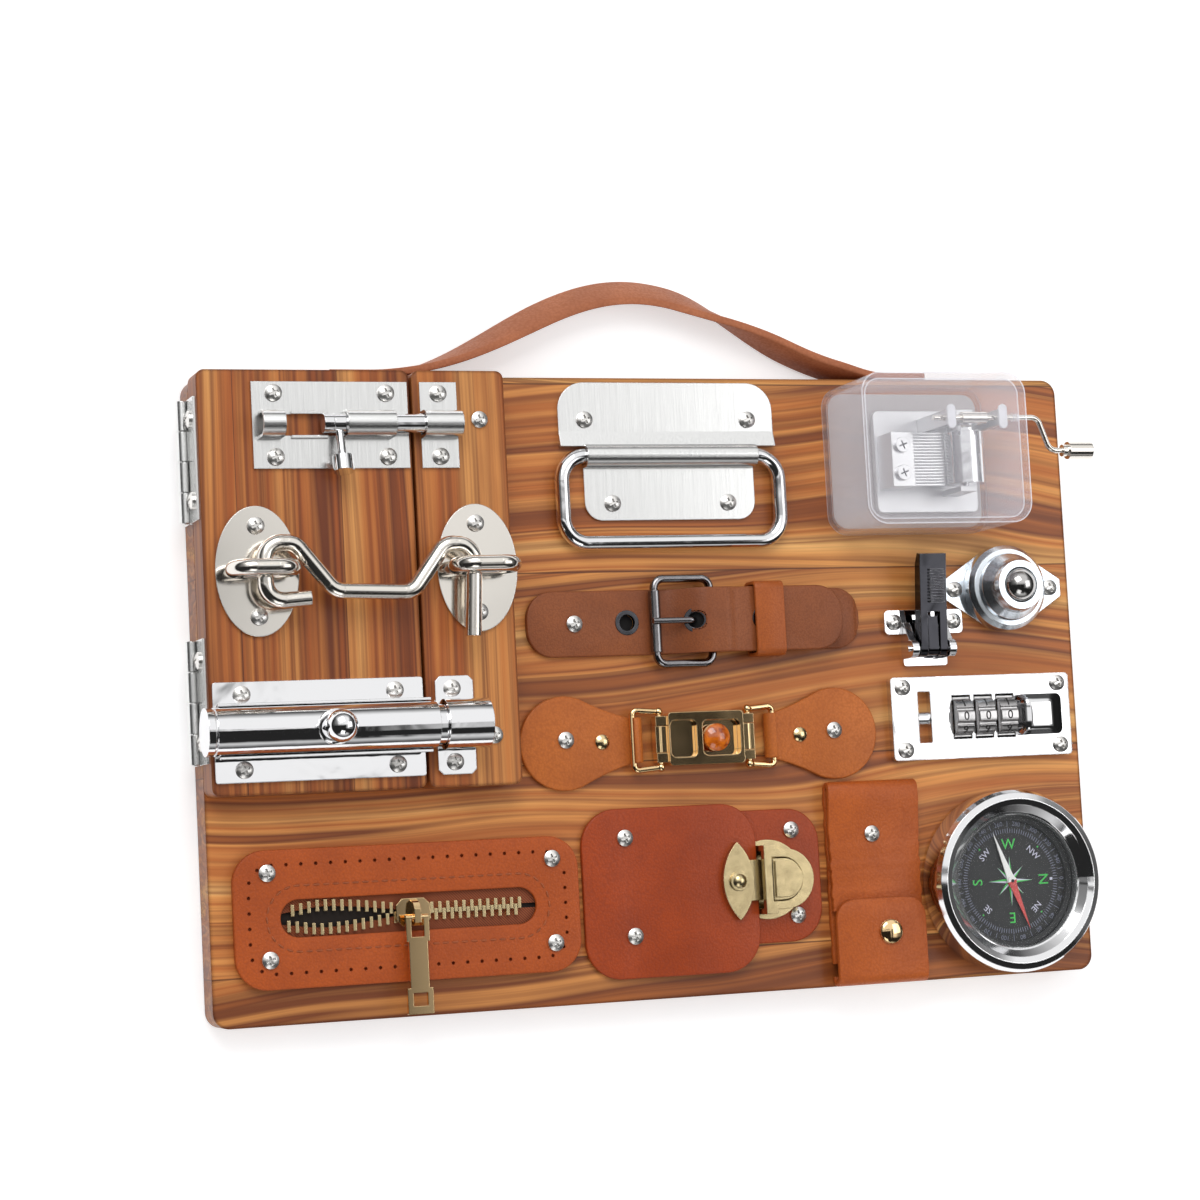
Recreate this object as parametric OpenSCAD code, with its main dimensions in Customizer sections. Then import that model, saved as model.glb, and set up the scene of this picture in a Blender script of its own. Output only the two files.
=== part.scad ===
// Wooden busy board: a torched pine panel with a small hinged door, latches, locks, straps and a music box.
// It lies on its back: +Z points out of its front face, +Y to the carry strap. Origin: centre of the back face.

/* [Board] */
// Width of the main board
board_w = 300; // [296:1:330]
// Height of the main board
board_h = 200; // [197:1:230]
// Thickness of the main board
board_t = 12; // [11:0.5:18]
// Corner radius of the main board
board_corner_r = 5; // [2:0.5:9]

/* [Door and keeper block] */
// Width of the door
door_w = 67; // [66:0.5:74]
// Height of the door and of the keeper block
door_h = 130; // [128:1:140]
// Thickness of the door and of the keeper block
door_t = 12; // [10:0.5:18]
// Width of the keeper block
block_w = 30; // [28:0.5:36]
// Gap between the door and the keeper block
door_gap = 1; // [0.6:0.1:2]
// Corner radius of the door and of the keeper block
door_corner_r = 2.5; // [1:0.5:5]

/* [Hinges] */
// Length of each butt hinge
hinge_l = 38; // [30:1:44]
// Width of each hinge leaf
hinge_leaf_w = 10.2; // [9:0.1:10.4]
// Thickness of each hinge leaf
hinge_leaf_t = 1; // [0.8:0.1:1.4]
// Outer diameter of the hinge barrel
hinge_barrel_d = 4; // [3.6:0.1:5]
// Diameter of the hinge pin
hinge_pin_d = 2; // [1.6:0.1:2.4]
// Centre of the upper hinge, down from the top edge
hinge_upper_drop = 27; // [24:1:32]
// Centre of the lower hinge, down from the top edge
hinge_lower_drop = 101; // [95:1:106]

/* [Screws] */
// Diameter of the pan heads
screw_head_d = 5.3; // [4.6:0.1:5.6]
// Height of the pan heads
screw_head_h = 1.5; // [1.2:0.1:1.8]
// Diameter of the shanks
screw_d = 2.4; // [2:0.1:2.8]
// Length of the shanks under the heads
screw_l = 9; // [7:0.5:9.5]

/* [Tower bolt] */
// Width of the bolt's plate
tower_plate_w = 49.5; // [48:0.5:52]
// Height of the plate and of the keeper
tower_plate_h = 27; // [25:0.5:30]
// Sheet thickness of the plates and arches
tower_sheet = 0.9; // [0.7:0.1:1.1]
// Diameter of the sliding rod
tower_rod_d = 6; // [5.4:0.1:6.4]
// Length of the sliding rod
tower_rod_l = 44; // [43:0.5:46]
// Distance of the rod's axis from the top edge
tower_drop = 17.3; // [17:0.1:22]
// Distance from the rod's axis to the end of its finger knob
tower_lever_l = 16; // [14:0.5:18]

/* [Cabin hook] */
// Distance between the two screw eyes
hook_span = 70; // [69:0.5:73]
// Diameter of the wire of the hook and the eyes
hook_wire_d = 5; // [4.4:0.1:5.4]
// Width of each oval plate
hook_plate_w = 26; // [25:0.5:27]
// Height of each oval plate
hook_plate_h = 40; // [38:0.5:42]
// Distance of the hook from the top edge
hook_drop = 62.2; // [60:0.1:64]

/* [Spring bolt] */
// Diameter of the sliding sleeve
spring_sleeve_d = 14.6; // [14:0.1:15.6]
// Length of the sliding sleeve
spring_sleeve_l = 71.5; // [70:0.5:74]
// Diameter of the nose that enters the keeper
spring_nose_d = 12.4; // [11:0.1:12.8]
// Height of the two flanges together
spring_flange_h = 30.5; // [29:0.5:33]
// Diameter of the ball knob
spring_knob_d = 10; // [8:0.5:11]
// Distance of the bolt's axis from the top edge
spring_drop = 111; // [110:0.5:112]

/* [Chest handle] */
// Width of the handle's upper plate
chest_plate_w = 74.5; // [72:0.5:77]
// Width of the roll and the lower plate
chest_roll_w = 59; // [57:0.5:60]
// Width of the bail over its outside
chest_bail_w = 80; // [79:0.5:86]
// Reach of the bail below its pivot axis
chest_bail_drop = 30.5; // [29:0.5:33]
// Diameter of the bail's bar
chest_bar_d = 4.8; // [4.2:0.1:5.2]
// Distance of the bail's pivot from the top edge
chest_drop = 25.8; // [25.5:0.1:30]

/* [Music box] */
// Width of the clear case
music_w = 59; // [58:0.5:62]
// Height of the clear case
music_h = 49.5; // [49:0.5:52]
// Depth of the clear case
music_depth = 32; // [31.5:0.5:36]
// Wall of the clear case
music_wall = 1.8; // [1.4:0.1:2]
// Diameter of the pinned drum
music_drum_d = 13; // [12:0.5:13.5]
// Diameter of the crank's wire
crank_wire_d = 1.8; // [1.6:0.1:2.4]
// Throw of the crank
crank_throw = 11; // [9:0.5:13]

/* [Belt] */
// Width of the belt
belt_w = 21; // [19:0.5:22]
// Thickness of the belt's leather
belt_t = 1.8; // [1.4:0.1:2]
// Length of the belt's tongue strap
belt_l = 107; // [106:0.5:110]
// Inner radius of the eyelets
eyelet_r = 2.6; // [2.4:0.1:2.8]

/* [Jewel clasp] */
// Diameter of the round leather ends
clasp_end_d = 30; // [26:0.5:31]
// Thickness of the clasp's leather
clasp_leather_t = 1.8; // [1.4:0.1:2.2]
// Length of the clasp's body
clasp_body_l = 26; // [25:0.5:27]
// Width of the clasp's body
clasp_body_w = 17; // [16:0.5:18]

/* [Toggle latch and ball caster] */
// Width of the toggle latch over its ears
toggle_w = 28.6; // [27:0.2:28.8]
// Length of the toggle lever
toggle_lever_l = 32; // [29:0.5:33]
// Diameter of the caster's steel ball
caster_ball_d = 12; // [11:0.5:12.5]
// Diameter of the caster's cup
caster_cup_d = 28.5; // [27:0.5:30]
// Length of the caster's flange
caster_flange_l = 44; // [43:0.5:45]

/* [Combination lock] */
// Width of the lock's plate
lock_w = 66; // [65:0.5:68]
// Height of the lock's plate
lock_h = 27.5; // [26:0.5:29]
// Height of the lock's plate above the board
lock_t = 3; // [2.6:0.1:3.6]
// Diameter of the number dials
lock_dial_d = 15.2; // [14.6:0.1:15.4]

/* [Zipper] */
// Width of the leather panel
zip_panel_w = 111; // [109:0.5:113]
// Height of the leather panel
zip_panel_h = 42.5; // [41:0.5:45]
// Thickness of the leather panel
zip_panel_t = 3; // [2.8:0.1:3.4]
// Length of the slot over the teeth
zip_slot_l = 82; // [80:0.5:84]
// Height of the slot over the teeth
zip_slot_h = 11.5; // [11.5:0.1:13]
// Spacing of the teeth along each row
zip_pitch = 2.6; // [2.2:0.1:3.2]
// Length of the pull tab
zip_pull_l = 29; // [26:0.5:30]

/* [Flap with tuck lock] */
// Width of the leather flap
flap_w = 59; // [57:0.5:60]
// Height of the leather flap
flap_h = 54; // [52:0.5:56]
// Thickness of the flap's leather
flap_t = 1.8; // [1.4:0.1:2]
// Width of the tuck lock's bar
tuck_bar_h = 22; // [20:0.5:23]

/* [Snap strap] */
// Width of the folded strap
snap_w = 32; // [30:0.5:33]
// Height of the folded strap
snap_h = 64.5; // [63:0.5:65]
// Thickness of the strap's leather
snap_t = 1.8; // [1.5:0.1:1.9]
// Length of the snapped front flap
snap_flap_l = 27; // [25:0.5:29]

/* [Compass] */
// Diameter of the compass
compass_d = 60; // [58:0.5:61]
// Height of the compass
compass_h = 13; // [12.5:0.5:15]
// Diameter of the compass dial
compass_dial_d = 43; // [41:0.5:45]

/* [Carry strap] */
// Distance between the points where the strap leaves the top edge
strap_span = 180; // [170:1:190]
// Rise of the strap over the top edge
strap_rise = 28; // [24:0.5:34]
// Thickness of the strap
strap_t = 2.6; // [2:0.1:3]
// Width of the strap
strap_w = 11; // [8:0.5:11]

/* [Hidden] */
$fn = 48;

// Sides of the board and heights of its faces
left = -board_w / 2;
right = board_w / 2;
top = board_h / 2;
bottom = -board_h / 2;
face = board_t;
door_face = board_t + door_t;

// Clearances: running fit, free gap between moving pieces, gap under leather, and lap of joined solids
fit = 0.05;
free = 0.3;
seat = 0.1;
lap = 0.01;
// A bent wire is a little thicker in its bends, and its straights reach into them
wire_swell = 0.05;
wire_lap = 0.2;

// Colours
steel = "#b9bcc0";
chrome = "#d3d7dc";
nickel = "#a9a59f";
gunmetal = "#55525a";
gold = "#c9a45a";
antique = "#8d7a45";
zinc = "#aab9c0";
tan_leather = "#a5502a";
belt_leather = "#7f4528";
clasp_leather = "#a45d34";
strap_leather = "#96604a";
pine = "#b07040";

// ---- Shared shapes ----

// A rectangle with round corners, centred
module rounded_rect(w, h, r) {
    square([w - 2 * r, h], center = true);
    square([w, h - 2 * r], center = true);
    for (sx = [-1, 1], sy = [-1, 1])
        translate([sx * (w / 2 - r), sy * (h / 2 - r)]) circle(r);
}

// A plate with round corners, standing on z = 0
module rounded_plate(w, h, t, r) linear_extrude(t) rounded_rect(w, h, r);

// A rectangle with cut corners, centred
module chamfered_rect(w, h, c) {
    polygon([
        [-w / 2 + c, -h / 2], [w / 2 - c, -h / 2], [w / 2, -h / 2 + c], [w / 2, h / 2 - c],
        [w / 2 - c, h / 2], [-w / 2 + c, h / 2], [-w / 2, h / 2 - c], [-w / 2, -h / 2 + c]
    ]);
}

// An oval, centred
module oval(w, h) polygon([for (a = [0 : 6 : 354]) [w / 2 * cos(a), h / 2 * sin(a)]]);

// A round bar from point a to point b
module bar(a, b, r) {
    d = b - a;
    turn = atan2(d.y, d.x);
    tilt = atan2(norm([d.x, d.y]), d.z);
    translate(a) rotate([0, tilt, turn]) cylinder(r = r, h = norm(d));
}

function unit(v) = v / norm(v);

// Turn of a path at corner i, and the length of straight that its bend takes up on each side
function corner_turn(p, i) = acos(unit(p[i] - p[i - 1]) * unit(p[i + 1] - p[i]));
function corner_cut(p, i, bend) = (i == 0 || i == len(p) - 1) ? 0 : bend * tan(corner_turn(p, i) / 2);

// A bent wire of radius r through a list of points, each corner an arc of radius bend
module wire(points, r, bend) {
    for (i = [0 : len(points) - 2]) let (along = unit(points[i + 1] - points[i]))
        bar(
            points[i] + along * (corner_cut(points, i, bend) - (i == 0 ? 0 : wire_lap)),
            points[i + 1] - along * (corner_cut(points, i + 1, bend) - (i == len(points) - 2 ? 0 : wire_lap)),
            r
        );
    for (i = [1 : len(points) - 2]) {
        before = unit(points[i] - points[i - 1]);
        normal = unit(cross(before, unit(points[i + 1] - points[i])));
        inward = cross(normal, before);
        start = points[i] - before * corner_cut(points, i, bend);
        centre = start + inward * bend;
        multmatrix([
            [-inward.x, before.x, normal.x, centre.x],
            [-inward.y, before.y, normal.y, centre.y],
            [-inward.z, before.z, normal.z, centre.z],
            [0, 0, 0, 1]
        ]) rotate_extrude(angle = corner_turn(points, i)) translate([bend, 0]) circle(r + wire_swell);
    }
}

// A profile drawn in X and Z, drawn out along Y and centred on it
module along_y(w) translate([0, w / 2, 0]) rotate([90, 0, 0]) linear_extrude(w) children();

// A profile drawn in Y and Z, drawn out along X and centred on it
module along_x(w) translate([-w / 2, 0, 0]) rotate([90, 0, 90]) linear_extrude(w) children();

// A pan-head screw with a cross recess, seated at z = 0
module pan_screw(l = screw_l) {
    edge_h = screw_head_h * 0.45;
    rise = screw_head_h - edge_h;
    dome_r = (pow(screw_head_d / 2, 2) + rise * rise) / (2 * rise);
    difference() {
        intersection() {
            cylinder(d = screw_head_d, h = screw_head_h);
            translate([0, 0, screw_head_h - dome_r]) sphere(dome_r);
        }
        for (a = [0, 90])
            rotate(a + 20) translate([-screw_head_d * 0.28, -0.35, screw_head_h * 0.45])
                cube([screw_head_d * 0.56, 0.7, screw_head_h]);
    }
    translate([0, 0, -l]) cylinder(d = screw_d, h = l + lap);
}

// The hole for one screw
module screw_hole(l = screw_l + 0.5) translate([0, 0, -l]) cylinder(d = screw_d + 2 * fit, h = l + 1);

module at_each(points) for (p = points) translate(p) children();

// An arch over a rod along X: inner radius r, wall t, axis at height z, feet on z = 0
module arch(l, r, t, z) {
    along_x(l) difference() {
        union() {
            translate([0, z]) circle(r + t);
            translate([-r - t, 0]) square([2 * (r + t), z]);
        }
        translate([0, z]) circle(r);
        translate([-r, -1]) square([2 * r, z + 1]);
        translate([-r - t - 1, -r - t]) square([2 * (r + t + 1), r + t]);
    }
}

// ---- Board, door, hinges and screws ----

door_x = left + door_w / 2;
door_y = top - door_h / 2;
door_edge = left + door_w;
block_x = door_edge + door_gap + block_w / 2;
block_left = block_x - block_w / 2;
barrel_gap = 0.15;
barrel_x = left - hinge_barrel_d / 2 - barrel_gap;
hinge_ys = [top - hinge_upper_drop, top - hinge_lower_drop];
knuckle_l = hinge_l / 4;
hinge_screw_dy = hinge_l * 0.33;

module main_board() color(pine) difference() {
    rounded_plate(board_w, board_h, board_t, board_corner_r);
    at_each(board_screw_points) screw_hole();
    at_each(hinge_screw_points(face - hinge_leaf_w / 2 - free)) rotate([0, -90, 0]) screw_hole();
    lock_pocket();
}

module keeper_block() color(pine) difference() {
    translate([block_x, door_y, face]) rounded_plate(block_w, door_h, door_t, door_corner_r);
    at_each(block_screw_points) screw_hole();
}

module door_panel() color(pine) difference() {
    translate([door_x, door_y, face + free / 3]) rounded_plate(door_w, door_h, door_t - free / 3, door_corner_r);
    at_each(door_screw_points) screw_hole();
    at_each(hinge_screw_points(face + hinge_leaf_w / 2 + free)) rotate([0, -90, 0]) screw_hole();
}

// Seats of the screws through the leaves, on the left edge at height z
function hinge_screw_points(z) = [for (y = hinge_ys, s = [-1, 1]) [left - hinge_leaf_t, y + s * hinge_screw_dy, z]];

// One leaf with two of the four knuckles; side is 1 for the door's leaf and -1 for the board's
module hinge_leaf(y, side) {
    first = side > 0 ? 0 : 1;
    difference() {
        union() {
            translate([left - hinge_leaf_t, y - hinge_l / 2, side > 0 ? face + free : face - hinge_leaf_w - free])
                cube([hinge_leaf_t, hinge_l, hinge_leaf_w]);
            for (k = [first, first + 2]) knuckle(y, k, hinge_barrel_d / 2, free / 2);
            for (k = [first, first + 2])
                translate([left - hinge_leaf_t, y - hinge_l / 2 + k * knuckle_l + free / 2, face - (side < 0 ? 1 : 0)])
                    cube([hinge_leaf_t, knuckle_l - free, 1]);
        }
        for (k = [1 - first, 3 - first]) knuckle(y, k, hinge_barrel_d / 2 + free, -free / 2);
        translate([barrel_x, y, face]) rotate([90, 0, 0])
            cylinder(r = hinge_pin_d / 2 + fit, h = hinge_l + 1, center = true);
        at_each(hinge_screw_points(side > 0 ? face + hinge_leaf_w / 2 + free : face - hinge_leaf_w / 2 - free))
            rotate([0, -90, 0]) screw_hole();
    }
}

module knuckle(y, k, r, inset) {
    translate([barrel_x, y - hinge_l / 2 + k * knuckle_l + inset, face])
        rotate([-90, 0, 0]) cylinder(r = r, h = knuckle_l - 2 * inset);
}

module board_hinge_leaves() color(steel) for (y = hinge_ys) {
    hinge_leaf(y, -1);
    translate([barrel_x, y, face]) rotate([90, 0, 0]) cylinder(d = hinge_pin_d, h = hinge_l, center = true);
}

module door_hinge_leaves() color(steel) for (y = hinge_ys) hinge_leaf(y, 1);

module board_screws() color(nickel) {
    at_each(board_screw_points) pan_screw();
    at_each(block_screw_points) pan_screw();
    at_each(hinge_screw_points(face - hinge_leaf_w / 2 - free)) rotate([0, -90, 0]) pan_screw();
}

module door_screws() color(nickel) {
    at_each(door_screw_points) pan_screw();
    at_each(hinge_screw_points(face + hinge_leaf_w / 2 + free)) rotate([0, -90, 0]) pan_screw();
}

// ---- Tower bolt ----

tower_y = top - tower_drop;
tower_x = door_edge - 0.8 - tower_plate_w / 2;
tower_axis_h = tower_rod_d / 2 + free;
tower_z = door_face + tower_sheet + tower_axis_h;
tower_travel = door_gap + 14.6;
tower_tip = door_edge + tower_travel - 0.6;
tower_bridge_l = 7;
tower_sleeve_l = 15.5;
tower_window_l = 19.5;
tower_sleeve_x = tower_x + tower_plate_w / 2 - 5.5 - tower_sleeve_l / 2;
tower_window_x = tower_sleeve_x - tower_sleeve_l / 2 - tower_window_l / 2;
tower_bridge_x = tower_window_x - tower_window_l / 2 - tower_bridge_l / 2;
tower_arch_r = tower_rod_d / 2 + free;
tower_neck_l = 3.8;
tower_neck_x = tower_sleeve_x - tower_sleeve_l / 2 - free - tower_neck_l / 2;
tower_neck_r = tower_rod_d / 2 - 0.9;
tower_keeper_w = 12;
tower_keeper_x = block_left + 2.2 + tower_keeper_w / 2;
tower_screw_dx = tower_plate_w * 0.36;
tower_screw_dy = tower_plate_h / 2 - 3.6;
tower_screws = [for (sx = [-1, 1], sy = [-1, 1])
    [tower_x + sx * tower_screw_dx, tower_y + sy * tower_screw_dy, door_face + tower_sheet]];
tower_keeper_screws = [for (sy = [-1, 1])
    [tower_keeper_x, tower_y + sy * tower_screw_dy, door_face + tower_sheet]];

module tower_plate() color(steel) {
    translate([tower_x, tower_y, door_face]) difference() {
        linear_extrude(tower_sheet) square([tower_plate_w, tower_plate_h], center = true);
        translate([tower_window_x - tower_x, 0, -1]) linear_extrude(tower_sheet + 2)
            square([tower_window_l - 1, 2 * tower_arch_r], center = true);
        translate([-tower_x, -tower_y, -door_face]) at_each(tower_screws) screw_hole();
    }
    translate([tower_bridge_x, tower_y, door_face + tower_sheet - lap])
        arch(tower_bridge_l, tower_arch_r, tower_sheet, tower_axis_h);
    translate([tower_sleeve_x, tower_y, door_face + tower_sheet - lap])
        arch(tower_sleeve_l, tower_arch_r, tower_sheet, tower_axis_h);
    for (s = [-1, 1])
        translate([tower_window_x - 1, tower_y + s * (tower_arch_r + tower_sheet / 2), door_face + tower_sheet - lap])
            linear_extrude(1.2) square([tower_window_l - 8, tower_sheet], center = true);
}

module tower_keeper() color(steel) {
    difference() {
        translate([tower_keeper_x, tower_y, door_face]) linear_extrude(tower_sheet)
            square([tower_keeper_w, tower_plate_h], center = true);
        at_each(tower_keeper_screws) screw_hole();
    }
    translate([tower_keeper_x, tower_y, door_face + tower_sheet - lap])
        arch(tower_keeper_w, tower_arch_r, tower_sheet, tower_axis_h);
}

module tower_rod() color(chrome) translate([tower_tip, tower_y, tower_z]) rotate([0, -90, 0]) difference() {
    cylinder(d = tower_rod_d, h = tower_rod_l);
    translate([0, 0, tower_tip - tower_neck_x - tower_neck_l / 2]) difference() {
        cylinder(d = tower_rod_d + 1, h = tower_neck_l);
        translate([0, 0, -1]) cylinder(r = tower_neck_r, h = tower_neck_l + 2);
    }
}

module tower_lever() color(chrome) translate([tower_neck_x, tower_y, tower_z]) {
    rotate([0, 90, 0]) difference() {
        cylinder(d = tower_rod_d, h = tower_neck_l - 0.2, center = true);
        cylinder(r = tower_neck_r + fit, h = tower_neck_l + 1, center = true);
    }
    rotate([90 - 14, 0, 0]) {
        translate([0, 0, tower_neck_r + 0.4]) cylinder(d = 2.8, h = tower_lever_l - 7);
        translate([0, 0, tower_lever_l - 5]) cylinder(d = 6.4, h = 5);
    }
}

// ---- Cabin hook ----

hook_y = top - hook_drop;
hook_left_x = left + 3.3 + hook_plate_w / 2;
hook_right_x = hook_left_x + hook_span;
hook_plate_t = 1.2;
hook_r = hook_wire_d / 2;
eye_bend_r = 5.5;
eye_straight = 3.5;
eye_z = door_face + hook_plate_t + eye_bend_r + hook_r - 0.2;
hook_bend_r = 5.4;
hook_screws = [for (x = [hook_left_x, hook_right_x]) [for (s = [-1, 1])
    [x, hook_y + s * 13.9, door_face + hook_plate_t]]];

// An oval plate with an oval wire loop standing on it, the loop's hole facing along Y
module cabin_eye(x, screws) color(nickel) {
    difference() {
        translate([x, hook_y, door_face]) linear_extrude(hook_plate_t) oval(hook_plate_w, hook_plate_h);
        at_each(screws) screw_hole();
    }
    translate([x, hook_y, eye_z]) rotate([90, 0, 0]) {
        for (s = [-1, 1]) {
            bar([-eye_straight - wire_lap, s * eye_bend_r, 0], [eye_straight + wire_lap, s * eye_bend_r, 0], hook_r);
            translate([s * eye_straight, 0, 0]) rotate(-90 * s)
                rotate_extrude(angle = 180) translate([eye_bend_r, 0]) circle(hook_r + wire_swell);
        }
    }
}

module cabin_eye_left() cabin_eye(hook_left_x, hook_screws[0]);
module cabin_eye_right() cabin_eye(hook_right_x, hook_screws[1]);

// The hook lies across the door: an open curl round the left loop, a long arm, and a tip down through the right loop
module cabin_hook() color(nickel) translate([hook_left_x, hook_y, eye_z]) wire([
    [14.2, -9.2, 0], [0.6, -10.2, 0], [0.4, 8, 0], [10.2, 7.6, 0], [22, -7.2, 0],
    [hook_span - 23.5, -8, 0], [hook_span - 12.5, 6.9, 0], [hook_span - 3.1, 6.3, 0], [hook_span - 4.8, -22, 0]
], hook_r, hook_bend_r);

// ---- Spring bolt ----

spring_y = top - spring_drop;
spring_base_t = 1.5;
spring_case_w = door_w - 1.2;
spring_case_x = left + 0.8 + spring_case_w / 2;
spring_cradle_r = spring_sleeve_d / 2 + free;
spring_cradle_t = 0.8;
spring_z = door_face + spring_base_t + spring_cradle_r;
spring_end = left - 3.7;
spring_travel = door_gap + 15.8;
spring_tip = door_edge + spring_travel - 0.6;
spring_keeper_l = 14;
spring_keeper_x = block_left + 2.6;
spring_knob_x = left + door_w / 2 + 1.4;
spring_screw_dy = spring_flange_h / 2 - 3.9;
spring_screws = [for (x = [left + 9.7, door_edge - 9.3], s = [-1, 1])
    [x, spring_y + s * spring_screw_dy, door_face + spring_base_t]];
spring_keeper_screws = [for (s = [-1, 1])
    [spring_keeper_x + 5.4, spring_y + s * spring_screw_dy, door_face + spring_base_t]];

module spring_bolt_case() color(chrome) {
    difference() {
        translate([spring_case_x, spring_y, door_face])
            rounded_plate(spring_case_w, spring_flange_h, spring_base_t, 0.8);
        at_each(spring_screws) screw_hole();
    }
    translate([spring_case_x, spring_y, spring_z]) along_x(spring_case_w) difference() {
        circle(spring_cradle_r + spring_cradle_t);
        circle(spring_cradle_r);
        translate([-20, 1]) square([40, 20]);
        translate([-20, -20 - spring_cradle_r - spring_base_t / 2]) square([40, 20]);
    }
}

module spring_bolt_sleeve() color(chrome) translate([0, spring_y, spring_z]) {
    translate([spring_end, 0, 0]) rotate([0, 90, 0]) difference() {
        cylinder(d = spring_sleeve_d, h = spring_sleeve_l);
        translate([0, 0, 2.2]) difference() {
            cylinder(d = spring_sleeve_d + 1, h = 0.6);
            cylinder(d = spring_sleeve_d - 0.8, h = 0.6);
        }
    }
    bar([spring_end + spring_sleeve_l - lap, 0, 0], [spring_tip, 0, 0], spring_nose_d / 2);
    translate([spring_knob_x, 0, 0]) {
        cylinder(d = spring_knob_d * 0.62, h = spring_sleeve_d / 2 + 3.5);
        translate([0, 0, spring_sleeve_d / 2 - 0.8]) cylinder(d = spring_knob_d + 1, h = 1.3);
        translate([0, 0, spring_sleeve_d / 2 + spring_knob_d / 2 + 1.2]) sphere(d = spring_knob_d);
    }
}

module spring_bolt_keeper() color(chrome) {
    nose_r = spring_nose_d / 2 + free;
    difference() {
        translate([spring_keeper_x + spring_keeper_l / 2 - 0.9, spring_y, door_face])
            linear_extrude(spring_base_t) chamfered_rect(spring_keeper_l - 1.8, spring_flange_h, 1.5);
        at_each(spring_keeper_screws) screw_hole();
    }
    translate([spring_keeper_x + spring_keeper_l / 2, spring_y, spring_z]) {
        along_x(spring_keeper_l) difference() {
            union() {
                circle(nose_r + 1.2);
                translate([-nose_r, -spring_cradle_r - spring_base_t / 2]) square([2 * nose_r, nose_r]);
            }
            circle(nose_r);
        }
        translate([spring_keeper_l / 2 - 1, 0, 0]) rotate([0, 90, 0]) cylinder(r = nose_r + 0.4, h = 1);
    }
}

// Screws through the door's hardware, and those in the keeper block
door_screw_points = concat(tower_screws, hook_screws[0], spring_screws);
block_fixing_screws = [for (y = [top - 15.5, top - door_h + 15.5]) [block_x + 6.5, y, door_face]];
block_screw_points = concat(tower_keeper_screws, hook_screws[1], spring_keeper_screws, block_fixing_screws);

// ---- Chest handle ----

chest_x = 6.8;
chest_y = top - chest_drop;
chest_t = 1;
chest_bar_r = chest_bar_d / 2;
chest_roll_r = chest_bar_r + free;
chest_axis_h = chest_bar_r + free + 0.2;
chest_axis_z = face + chest_axis_h;
chest_bend_r = 8;
chest_side = chest_bail_w / 2 - chest_bar_r;
chest_low = chest_bail_drop - chest_bar_r;
chest_upper_h = 21;
chest_lower_h = 17.5;
chest_screws = [
    [chest_x - chest_plate_w * 0.38, chest_y + 12, face + chest_t],
    [chest_x + chest_plate_w * 0.38, chest_y + 12, face + chest_t],
    [chest_x - chest_roll_w * 0.34, chest_y - 15.2, face + chest_t],
    [chest_x + chest_roll_w * 0.34, chest_y - 15.2, face + chest_t]
];

module chest_handle_plate() color(steel) {
    foot = chest_roll_r + chest_t / 2;
    difference() {
        translate([chest_x, chest_y, face]) {
            translate([0, foot + chest_upper_h / 2, 0]) linear_extrude(chest_t) intersection() {
                translate([0, -5]) rounded_rect(chest_plate_w, chest_upper_h + 10, 9);
                square([chest_plate_w, chest_upper_h], center = true);
            }
            translate([0, -foot - chest_lower_h / 2, 0]) linear_extrude(chest_t) intersection() {
                translate([0, 5]) rounded_rect(chest_roll_w, chest_lower_h + 10, 6);
                square([chest_roll_w, chest_lower_h], center = true);
            }
        }
        at_each(chest_screws) screw_hole();
    }
    translate([chest_x, chest_y, face]) arch(chest_roll_w, chest_roll_r, chest_t, chest_axis_h);
    // Sloping lip where the upper plate bends out to the roll
    translate([chest_x, chest_y, face]) along_x(chest_plate_w) polygon([
        [chest_roll_r + chest_t * 0.6, 0], [chest_roll_r + 5.5, 0], [chest_roll_r + 5.5, chest_t],
        [chest_roll_r + chest_t * 0.6, chest_axis_h * 0.9]
    ]);
}

// A closed ring of round bar that turns in the roll; drawn lying down, pivot on the X axis
module chest_handle_bail() color(chrome) translate([chest_x, chest_y, chest_axis_z]) {
    straight = chest_side - chest_bend_r;
    upright = chest_low - 2 * chest_bend_r;
    for (y = [0, -chest_low]) bar([-straight, y, 0], [straight, y, 0], chest_bar_r);
    for (s = [-1, 1]) bar([s * chest_side, -chest_bend_r, 0], [s * chest_side, -chest_bend_r - upright, 0], chest_bar_r);
    for (s = [-1, 1], low = [0, 1])
        translate([s * straight, -chest_bend_r - low * upright, 0])
            rotate(s > 0 ? (low ? -90 : 0) : (low ? 180 : 90))
                rotate_extrude(angle = 90) translate([chest_bend_r, 0]) circle(chest_bar_r);
}

// ---- Music box ----

music_x = right - 28.5 - music_w / 2;
music_y = top - 2.8 - music_h / 2;
music_top = face + music_depth;
bed_w = 37;
bed_h = 34;
bed_t = 2;
bed_x = music_x + music_w / 2 - 5.5 - bed_w / 2;
bed_y = music_y - 0.8;
bed_z = face + 2.5;
drum_x = bed_x + 8.5;
drum_l = 18;
drum_y = bed_y - 0.6;
drum_z = bed_z + bed_t + music_drum_d / 2 + 4.5;
drum_gear_r = music_drum_d / 2 + 0.6;
gear_y = drum_y + drum_l / 2 + 3.2;
worm_r = 1.9;
crank_z = drum_z + drum_gear_r + worm_r + 0.5;
crank_exit_x = music_x + music_w / 2;
crank_r = crank_wire_d / 2;
crank_bend_r = 3.4;

module music_case() color(chrome, 0.3) difference() {
    translate([music_x, music_y, face]) rounded_plate(music_w, music_h, music_depth, 7);
    translate([music_x, music_y, face - 1])
        rounded_plate(music_w - 2 * music_wall, music_h - 2 * music_wall, music_depth - music_wall + 1, 5.2);
    translate([crank_exit_x, gear_y, crank_z]) rotate([0, 90, 0])
        cylinder(r = crank_r + free, h = 4 * music_wall, center = true);
}

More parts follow.
